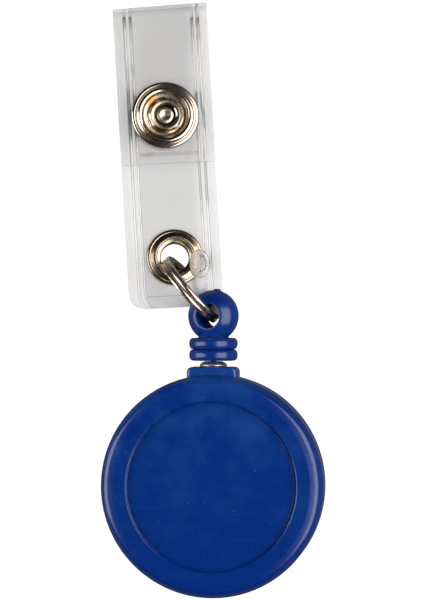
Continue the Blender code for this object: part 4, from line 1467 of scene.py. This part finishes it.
class Station(NamedTuple):
    """A place across the strap, how deep it is pressed, and whether it is on a weld line."""

    x: float
    pressed: float
    welded: bool


class Wave(NamedTuple):
    """A shallow wave of the sheet, in millimetres and radians for a millimetre."""

    height: float
    lengthwise: float
    across: float
    start: float


WAVES = (Wave(0.045, 0.42, 0.3, 0.0), Wave(0.03, -0.21, 0.75, 1.0))
"""The strap's gentle unevenness."""

TAIL_ROWS = (0.0, 0.12, 0.4, 0.8, 1.3, 1.6, 1.75, 1.9, 2.3)
"""Distances of the closely set rows from the strap's rounded end, with its cross weld among them."""

FLAP_ROWS = (1.75, 1.45, 1.15, 0.5)
"""The same from the flap's end."""

EDGE_STATIONS = (
    Station(0.0, 0.0, False),
    Station(0.25, 0.0, False),
    Station(1.32, 0.0, False),
    Station(1.42, 0.07, True),
    Station(1.6, 0.07, True),
    Station(1.7, 0.0, False),
    Station(2.22, 0.0, False),
    Station(2.32, 0.06, True),
    Station(2.46, 0.06, True),
    Station(2.56, 0.0, False),
    Station(3.6, 0.0, False),
    Station(4.9, 0.0, False),
)
"""Stations in from each long edge, with the two weld lines."""

BORDER_COLUMNS = 9
"""Columns of faces from a long edge to the far side of its second weld line."""


@dataclass
class StrapFrame:
    """Where the strap lies: its frame has its origin at the grommet and its Y axis runs to the fold."""

    yaw: float = math.radians(3.9)
    pitch: float = math.radians(-5.7)
    roll: float = math.radians(9.0)
    fold_y: float = 36.9
    flap_z: float = 2.65

    def matrix(self) -> Matrix:
        """Returns the strap's frame, in metres, hung from the fold's axis."""
        turn = Matrix.Rotation(self.yaw, 4, "Z") @ Matrix.Rotation(self.pitch, 4, "X")
        turn = turn @ Matrix.Rotation(self.roll, 4, "Y")
        fold = Vector(joint("flap_open")["pos_m"])
        origin = fold - turn.to_3x3() @ Vector((0, self.fold_y, self.flap_z / 2)) * MM
        return Matrix.Translation(origin) @ turn


@dataclass
class VinylStrap:
    """The clear strap, one sheet from its rounded end, round the fold, to the end of the flap."""

    palette: Palette
    lie: StrapFrame
    thickness: float = 0.5
    left: float = -6.99
    right: float = 6.71
    tail: float = 7.25
    corner: float = 2.3
    flap_end: float = 13.45
    flap_end_round: float = 0.5
    flap_end_draw: float = 0.12
    snap_y: float = 20.4
    snap_x: float = -0.38
    row_step: float = 0.8
    fold_steps: int = 16
    tail_weld: float = 1.75
    flap_weld: float = 1.45
    weld_depth: float = 0.05
    edge_width: float = 0.2
    edge_thinning: float = 0.62
    skew: float = 0.03
    skew_start: float = 24.0
    skew_length: float = 12.0
    calm_reach: float = 8.0
    grommet_hole: float = 2.4
    stud_hole: float = 0.95
    barrel_hole: float = 2.1
    back_punch: Point = (-2, 1.2)
    flap_punch: Point = (1.8, 4)
    bend_starts: float = 0.35
    sharp: float = 60

    def rows(self) -> list[Row]:
        """Returns the rows along the sheet's middle, from the tail to the flap's end."""
        radius = self.lie.flap_z / 2
        centre = self.lie.fold_y - radius - self.thickness / 2
        ys = [-self.tail + distance for distance in TAIL_ROWS]
        y = -self.tail + 3.0
        while y < centre:
            ys.append(y)
            y += self.row_step
        rows = [Row(here, 0.0, 0.0, here + self.tail) for here in ys + [centre]]
        travelled = rows[-1].along
        for i in range(1, self.fold_steps + 1):
            angle = math.pi * i / self.fold_steps
            y, z = centre + radius * math.sin(angle), radius - radius * math.cos(angle)
            rows.append(Row(y, z, angle, travelled + radius * angle))
        travelled = rows[-1].along
        length = centre - self.flap_end
        steps = int(length / self.row_step)
        shares = [i / steps for i in range(1, steps - 2)] + [1.0]
        shares += [1 - distance / length for distance in FLAP_ROWS]
        for share in sorted(shares):
            rows.append(Row(centre - length * share, 2 * radius, math.pi, travelled + length * share))
        return rows

    def stations(self, squeeze: float) -> list[Station]:
        """Lays out the stations across the sheet.

        Args:
            squeeze: How far both edges come in.

        Returns:
            The stations from the left edge to the right one.
        """
        half = (self.right - self.left) / 2
        middle = (self.right + self.left) / 2
        share = (half - squeeze) / half
        across = [(-half + s.x, s) for s in EDGE_STATIONS] + [(0.0, Station(0.0, 0.0, False))]
        across += [(half - s.x, s) for s in EDGE_STATIONS[::-1]]
        return [Station(middle + x * share, s.pressed, s.welded) for x, s in across]

    def squeeze(self, along: float, length: float) -> float:
        """Rounds the sheet's corners at its tail and at the flap's end.

        Args:
            along: The distance along the sheet.
            length: The sheet's whole length.

        Returns:
            How far both edges come in there.
        """
        if along < self.corner:
            return self.corner - math.sqrt(max(self.corner**2 - (self.corner - along) ** 2, 0))
        if length - along < self.flap_end_round:
            return self.flap_end_draw * (1 - (length - along) / self.flap_end_round)
        return 0.0

    def wave(self, x: float, along: float) -> float:
        """Returns the sheet's gentle unevenness at a place on it."""
        return sum(w.height * math.sin(along * w.lengthwise + x * w.across + w.start) for w in WAVES)

    def section(self, row: Row, length: float) -> tuple[list[Vector], list[bool]]:
        """Draws the sheet's section at one row.

        Args:
            row: The row.
            length: The sheet's whole length.

        Returns:
            The points over the upper face and back under it, and for each whether it is on a weld line.
        """
        stations = self.stations(self.squeeze(row.along, length))
        normal = Vector((0, -math.sin(row.angle), math.cos(row.angle)))
        at_tail = abs(row.along - self.tail_weld) < 0.1
        at_flap = abs(length - row.along - self.flap_weld) < 0.05
        crossing = self.weld_depth if at_tail or at_flap else 0.0
        calm = min(1.0, abs(row.y - self.lie.fold_y) / self.calm_reach)
        centre = (self.left + self.right) / 2
        askew = self.skew * min(max((row.y - self.skew_start) / self.skew_length, 0.0), 1.0)
        upper = []
        lower = []
        for x, pressed, _ in stations:
            from_edge = abs(abs(x - centre) - (self.right - self.left) / 2)
            half = self.thickness / 2 * (1.0 if from_edge > self.edge_width else self.edge_thinning)
            point = Vector((x, row.y + askew * (x - centre), row.z))
            point += normal * self.wave(x, row.along) * calm
            upper.append(point + normal * (half - pressed - crossing))
            lower.append(point - normal * (half - pressed - crossing))
        welded = [station.welded for station in stations]
        return upper + lower[::-1], welded + welded[::-1]

    def sheet(self) -> Piece:
        """Returns the whole sheet, with the finish of each of its faces."""
        rows = self.rows()
        length = rows[-1].along
        draft = Draft()
        loops = []
        flags: list[list[bool]] = []
        for row in rows:
            points, welded = self.section(row, length)
            loops.append(draft.loop(points))
            flags.append(welded)
        count = len(flags[0])
        half = count // 2
        quarter = math.pi / 2 - 1e-6
        fold_row = next(i for i, row in enumerate(rows) if row.angle > quarter)

        def finish(row: int, i: int) -> int:
            """Returns the material number of the face after a row and a point."""
            welded, next_welded = flags[row][i], flags[row][(i + 1) % count]
            if (welded and next_welded) or i in (half - 1, count - 1):
                return StrapFace.WELD
            if welded != next_welded:
                # The weld lines' steep sides take the painted grey shade.
                return StrapFace.WELD_SHADE
            on_flap = row >= fold_row
            column = i if i < half else count - 2 - i
            if min(column, half - 2 - column) < BORDER_COLUMNS:
                return StrapFace.FLAP_BORDER if on_flap else StrapFace.BACK_BORDER
            along = rows[row].along
            # So do the rows just before the cross welds.
            before_tail_weld = abs(along - self.tail_weld + 0.15) < 0.01
            before_flap_weld = abs(length - along - self.flap_weld - 0.3) < 0.35
            if i < half and (before_tail_weld or before_flap_weld):
                return StrapFace.WELD_SHADE
            return StrapFace.FLAP if on_flap else StrapFace.BACK

        draft.skin(loops, finish=finish)
        dress = self.palette
        finishes = [dress.back_vinyl, dress.weld, dress.flap_vinyl]
        finishes += [dress.back_border, dress.flap_border, dress.weld_side_shade]
        return draft.done("vinyl_strap", finishes, self.lie.matrix(), sharp=self.sharp)

    def build(self) -> None:
        """Builds and dresses the strap and punches its holes."""
        holes = [
            self.hole("grommet_hole", (0, 0), self.grommet_hole, self.back_punch),
            self.hole("stud_hole", (self.snap_x, self.snap_y), self.stud_hole, self.back_punch),
            self.hole("barrel_hole", (self.snap_x, self.snap_y), self.barrel_hole, self.flap_punch),
        ]
        strap = bored(self.sheet(), holes, self.sharp)
        place = self.lie.matrix()
        z = self.bend_starts * MM
        start = place @ Vector((0, 0, z))
        end = place @ Vector((0, 0, self.lie.flap_z * MM - z))
        bend(strap, Slot.VINYL, (Body.STRAP, Body.FLAP), start, end, "strap_back", "strap_flap")

    def hole(self, name: str, centre: Point, radius: float, reach: Point) -> Piece:
        """Makes the cutter of a punched hole in the strap.

        Args:
            name: The cutter's name.
            centre: Its (x, y) in the strap's frame.
            radius: Its radius.
            reach: Where it starts and ends along the strap's Z axis.

        Returns:
            The cutter.
        """
        low, high = reach
        draft = Draft()
        section = [(0, low), (radius, low), (radius, high), (0, high)]
        draft.lathe(section, 48, place=Matrix.Translation((*centre, 0)))
        return draft.done(name, [], self.lie.matrix())


@dataclass
class StrapFittings:
    """The grommet, the clear button and the snap fastener."""

    palette: Palette
    lie: StrapFrame
    strap: VinylStrap
    face: float = 0.3
    back: float = -0.3
    button_x: float = 3.5
    button_y: float = -1.2
    button_shape: tuple[float, float] = (1.5, 2.15)
    petal_count: int = 8
    petal_depth: float = 0.07

    def build(self) -> None:
        """Builds and dresses every fitting."""
        self.grommet()
        self.washer()
        self.button()
        snap = Matrix.Translation(Vector((self.strap.snap_x, self.strap.snap_y, 0)) * MM)
        place = self.lie.matrix() @ snap
        self.snap_back(place)
        self.snap_stud(place)
        self.snap_socket(place)
        self.snap_ring(place)

    def grommet(self) -> None:
        """Builds the grommet's eyelet with its stepped, rolled flange."""
        low = self.face
        # From the hole out under the flange, back over it, down the barrel and out under the washer.
        corners = [
            (2.37, low, 0),
            (4.02, low, 0.08),
            (4.1, low + 0.16, 0.1),
            (4.0, low + 0.36, 0.2),
            (3.72, low + 0.44, 0.1),
            (3.62, low + 0.41, 0.04),
            (3.5, low + 0.46, 0.05),
            (3.0, low + 0.67, 0.4),
            (2.75, low + 0.66, 0.12),
            (2.68, low + 0.6, 0.04),
            (2.56, low + 0.6, 0.06),
            (2.12, low + 0.42, 0.2),
            (2.05, low + 0.2, 0.15),
            (2.05, -0.85, 0.15),
            (2.2, -1.08, 0.15),
            (2.8, -1.1, 0.2),
            (2.95, -0.72, 0.05),
            (2.37, -0.7, 0),
        ]
        place = self.lie.matrix()
        piece = turned("grommet", corners, self.palette.nickel, 112, place, rounding=6, sharp=50)
        settle(piece, Body.STRAP, Slot.NICKEL, "grommet_eyelet")

    def washer(self) -> None:
        """Builds the washer behind the strap."""
        corners = [
            (2.42, -0.65, 0.04),
            (3.9, -0.65, 0.12),
            (4.1, -0.5, 0.1),
            (4.1, self.back, 0.05),
            (2.42, self.back, 0),
        ]
        piece = turned("grommet_back_washer", corners, self.palette.nickel, 96, self.lie.matrix())
        settle(piece, Body.STRAP, Slot.NICKEL, "grommet_washer")

    def button(self) -> None:
        """Builds the clear oval button: a low dish with a small dome, and a stem under its far side."""
        low = self.face + 0.73
        corners = [
            (0, low, 0),
            (0.9, low, 0.1),
            (1.0, low + 0.2, 0.15),
            (0.9, low + 0.42, 0.2),
            (0.72, low + 0.46, 0.1),
            (0.64, low + 0.5, 0.05),
            (0.5, low + 0.8, 0.25),
            (0, low + 0.9, 0),
        ]
        draft = Draft()
        draft.lathe(fillet(corners, steps=6), 64)
        bmesh.ops.scale(draft.bm, vec=(*self.button_shape, 1), verts=draft.bm.verts)
        stem = [(0, low + 0.3), (0.45, low + 0.3), (0.45, self.face), (0, self.face)]
        draft.lathe(stem, 24, place=Matrix.Translation((0.95, 0, 0)))
        spot = Matrix.Translation(Vector((self.button_x, self.button_y, 0)) * MM)
        piece = draft.done("clear_button", [self.palette.clear], self.lie.matrix() @ spot, sharp=50)
        settle(piece, Body.STRAP, Slot.CLEAR, "strap_button")

    def snap_back(self, place: Matrix) -> None:
        """Builds the snap's back cap, whose post holds the stud."""
        corners = [
            (0, -1.15, 0),
            (3.9, -1.15, 0.4),
            (4.45, -0.9, 0.3),
            (4.6, -0.6, 0.2),
            (4.5, self.back, 0.05),
            (0.8, self.back, 0.05),
            (0.8, 0.95, 0.1),
            (0, 1.02, 0),
        ]
        piece = turned("snap_cap", corners, self.palette.nickel, 96, place, closed=False)
        settle(piece, Body.STRAP, Slot.NICKEL, "snap_back_cap")

    def snap_stud(self, place: Matrix) -> None:
        """Builds the stud with its flange, waist and dimpled head."""
        low = self.face
        head = low + 2.6
        # From the post's top down its hole, out round the flange, up the waist and over the head.
        corners = [
            (0, 1.1, 0),
            (0.85, 1.1, 0),
            (0.85, low, 0),
            (3.6, low, 0.1),
            (3.6, low + 0.3, 0.15),
            (3.2, low + 0.45, 0.15),
            (1.6, low + 0.45, 0.1),
            (1.62, low + 1.2, 0.2),
            (1.25, low + 1.55, 0.15),
            (1.26, head + 0.52, 0.2),
            (0.85, head + 0.66, 0.2),
            (0.42, head + 0.52, 0.2),
            (0, head + 0.34, 0),
        ]
        brass = self.palette.brass
        piece = turned("snap_stud_piece", corners, brass, 72, place, closed=False, rounding=6, sharp=50)
        settle(piece, Body.STRAP, Slot.BRASS, "snap_stud")

    def snap_socket(self, place: Matrix) -> None:
        """Builds the socket under the flap, with its sprung lip."""
        low = 0.8
        corners = [
            (1.82, low + 0.05, 0.15),
            (3.5, low, 0.25),
            (3.9, low + 0.35, 0.25),
            (3.9, low + 1.45, 0.2),
            (2.15, low + 1.48, 0.1),
            (2.15, low + 0.9, 0.1),
            (1.82, low + 0.9, 0.1),
        ]
        piece = turned("snap_socket_piece", corners, self.palette.nickel, 96, place)
        settle(piece, Body.FLAP, Slot.NICKEL, "snap_socket")

    def snap_ring(self, place: Matrix) -> None:
        """Builds the front ring: a rolled outer band, a dish and a petalled boss round a well."""
        low = self.lie.flap_z + self.face
        # From the barrel out under the flange, over the band, across the dish and into the well.
        corners = [
            (1.5, low - 1.2, 0),
            (2.05, low - 1.2, 0),
            (2.05, low, 0),
            (4.75, low, 0.1),
            (4.95, low + 0.3, 0.2),
            (4.78, low + 0.62, 0.25),
            (4.45, low + 0.68, 0.15),
            (4.3, low + 0.5, 0.05),
            (4.2, low + 0.52, 0.05),
            (4.06, low + 0.84, 0.2),
            (3.75, low + 1.0, 0.3),
            (3.38, low + 0.86, 0.3),
            (3.16, low + 0.4, 0.2),
            (2.68, low + 0.34, 0.06),
            (2.52, low + 0.42, 0.06),
            (2.4, low + 0.74, 0.25),
            (2.12, low + 0.96, 0.2),
            (1.72, low + 0.9, 0.12),
            (1.52, low + 0.72, 0.1),
            (1.5, low + 0.2, 0.1),
        ]
        profile = fillet(corners, closed=True, steps=6)
        shelf = low + 0.3

        def petals(radius: float, height: float, angle: float) -> Point:
            """Spreads the boss's outer edge into soft petals."""
            if 2.2 < radius < 2.62 and height > shelf:
                return radius + self.petal_depth * math.cos(self.petal_count * angle + 0.4), height
            return radius, height

        def finish(row: int) -> int:
            """Returns the worn finish in the dish and on the boss, and the plain one elsewhere."""
            radius, height = profile[row]
            return 1 if 1.9 < radius < 3.5 and height > shelf else 0

        draft = Draft()
        draft.lathe(profile, 128, closed=True, wobble=petals, finish=finish)
        finishes = [self.palette.snap_nickel, self.palette.worn_nickel]
        piece = draft.done("snap_ring", finishes, place, sharp=55)
        settle(piece, Body.FLAP, Slot.NICKEL, "snap_front_ring")


# ----------------------------------------------------------------------------------------- the studio


@dataclass
class Softbox:
    """A large soft light."""

    name: str
    place: Vector
    size: tuple[float, float]
    watts: float

    def build(self, target: Vector) -> None:
        """Makes the light and turns it to the object.

        Args:
            target: The point that it faces.
        """
        light = bpy.data.lights.new(self.name, "AREA")
        light.shape = "RECTANGLE"
        light.size, light.size_y = self.size
        light.energy = self.watts
        lamp = bpy.data.objects.new(self.name, light)
        lamp.location = self.place
        lamp.rotation_euler = (target - self.place).to_track_quat("-Z", "Y").to_euler()
        bpy.context.scene.collection.objects.link(lamp)


@dataclass
class Studio:
    """The camera, the lights, the pale floor and the surroundings."""

    tilt: float = math.radians(5)
    distance: float = 0.45
    target: Vector = field(default_factory=lambda: Vector((0.00016, 0.02671, 0.01205)))
    scale: float = 7.01
    image_height: int = 600
    sensor: float = 36.0
    surround: float = 0.012
    floor_reach: float = 6000.0
    floor_z: float = -0.02
    floor_shade: float = 0.14
    floor_glow: float = 0.03

    def build(self) -> None:
        """Builds the whole studio."""
        self.camera()
        self.floor()
        self.world()
        middle = Vector((0, 0.025, 0.005))
        for light in (
            Softbox("left_softbox", Vector((-0.43, 0.02, 0.25)), (0.36, 0.47), 2.2),
            Softbox("right_softbox", Vector((0.35, 0.02, 0.36)), (0.58, 0.47), 3.5),
        ):
            light.build(middle)
        bpy.context.scene.view_settings.view_transform = "Standard"

    def camera(self) -> None:
        """Makes the camera, nearly over the reel and leaning a little to its right."""
        back = Vector((math.sin(self.tilt), 0, math.cos(self.tilt)))
        right = Vector((math.cos(self.tilt), 0, -math.sin(self.tilt)))
        data = bpy.data.cameras.new("camera")
        data.sensor_fit = "VERTICAL"
        data.sensor_height = self.sensor
        data.lens = self.scale * self.distance / MM / self.image_height * self.sensor
        data.clip_start = 0.01
        camera = bpy.data.objects.new("camera", data)
        place = self.target + back * self.distance
        camera.matrix_world = axes_at(place, right, Vector((0, 1, 0)), back)
        bpy.context.scene.collection.objects.link(camera)
        bpy.context.scene.camera = camera

    def floor(self) -> None:
        """Makes the plain pale floor, which glows so that it looks evenly white."""
        draft = Draft()
        reach = self.floor_reach
        corners = [(-reach, -reach), (reach, -reach), (reach, reach), (-reach, reach)]
        draft.bm.faces.new(draft.loop([Vector((x, y, self.floor_z)) for x, y in corners]))
        nodes = Nodes("pale_floor")
        shade = self.floor_shade
        nodes.plain(Roughness=0.9, Specular_IOR_Level=0.0)
        nodes.plain(Emission_Color=(1, 1, 1, 1), Base_Color=(shade, shade, shade, 1))
        path = nodes.tree.nodes.new("ShaderNodeLightPath").outputs
        seen = nodes.maths("MAXIMUM", path["Is Camera Ray"], path["Is Transmission Ray"])
        nodes.feed("Emission Strength", nodes.span(seen, self.floor_glow, 1.0))
        draft.done("floor", [nodes.material])

    def world(self) -> None:
        """Makes the surroundings: dim where metal mirrors them, white behind the object."""
        world = bpy.data.worlds.new("studio")
        world.use_nodes = True
        tree = world.node_tree
        shade = tree.nodes["Background"]
        shade.inputs["Color"].default_value = (1, 1, 1, 1)
        path = tree.nodes.new("ShaderNodeLightPath")
        spread = tree.nodes.new("ShaderNodeMapRange")
        spread.inputs["To Min"].default_value = self.surround
        spread.inputs["To Max"].default_value = 1.0
        tree.links.new(path.outputs["Is Camera Ray"], spread.inputs["Value"])
        tree.links.new(spread.outputs["Result"], shade.inputs["Strength"])
        bpy.context.scene.world = world


def main() -> None:
    """Builds the studio and every sub-assembly."""
    logging.basicConfig(level=logging.INFO, format="%(name)s: %(message)s")
    Studio().build()
    palette = Palette()
    Reel(palette).build()
    BeltClip(palette).build()
    CordAndSpool(palette).build()
    Stopper(palette).build()
    SplitRing(palette).build()
    lie = StrapFrame()
    strap = VinylStrap(palette, lie)
    strap.build()
    StrapFittings(palette, lie, strap).build()


if __name__ == "__main__":
    main()
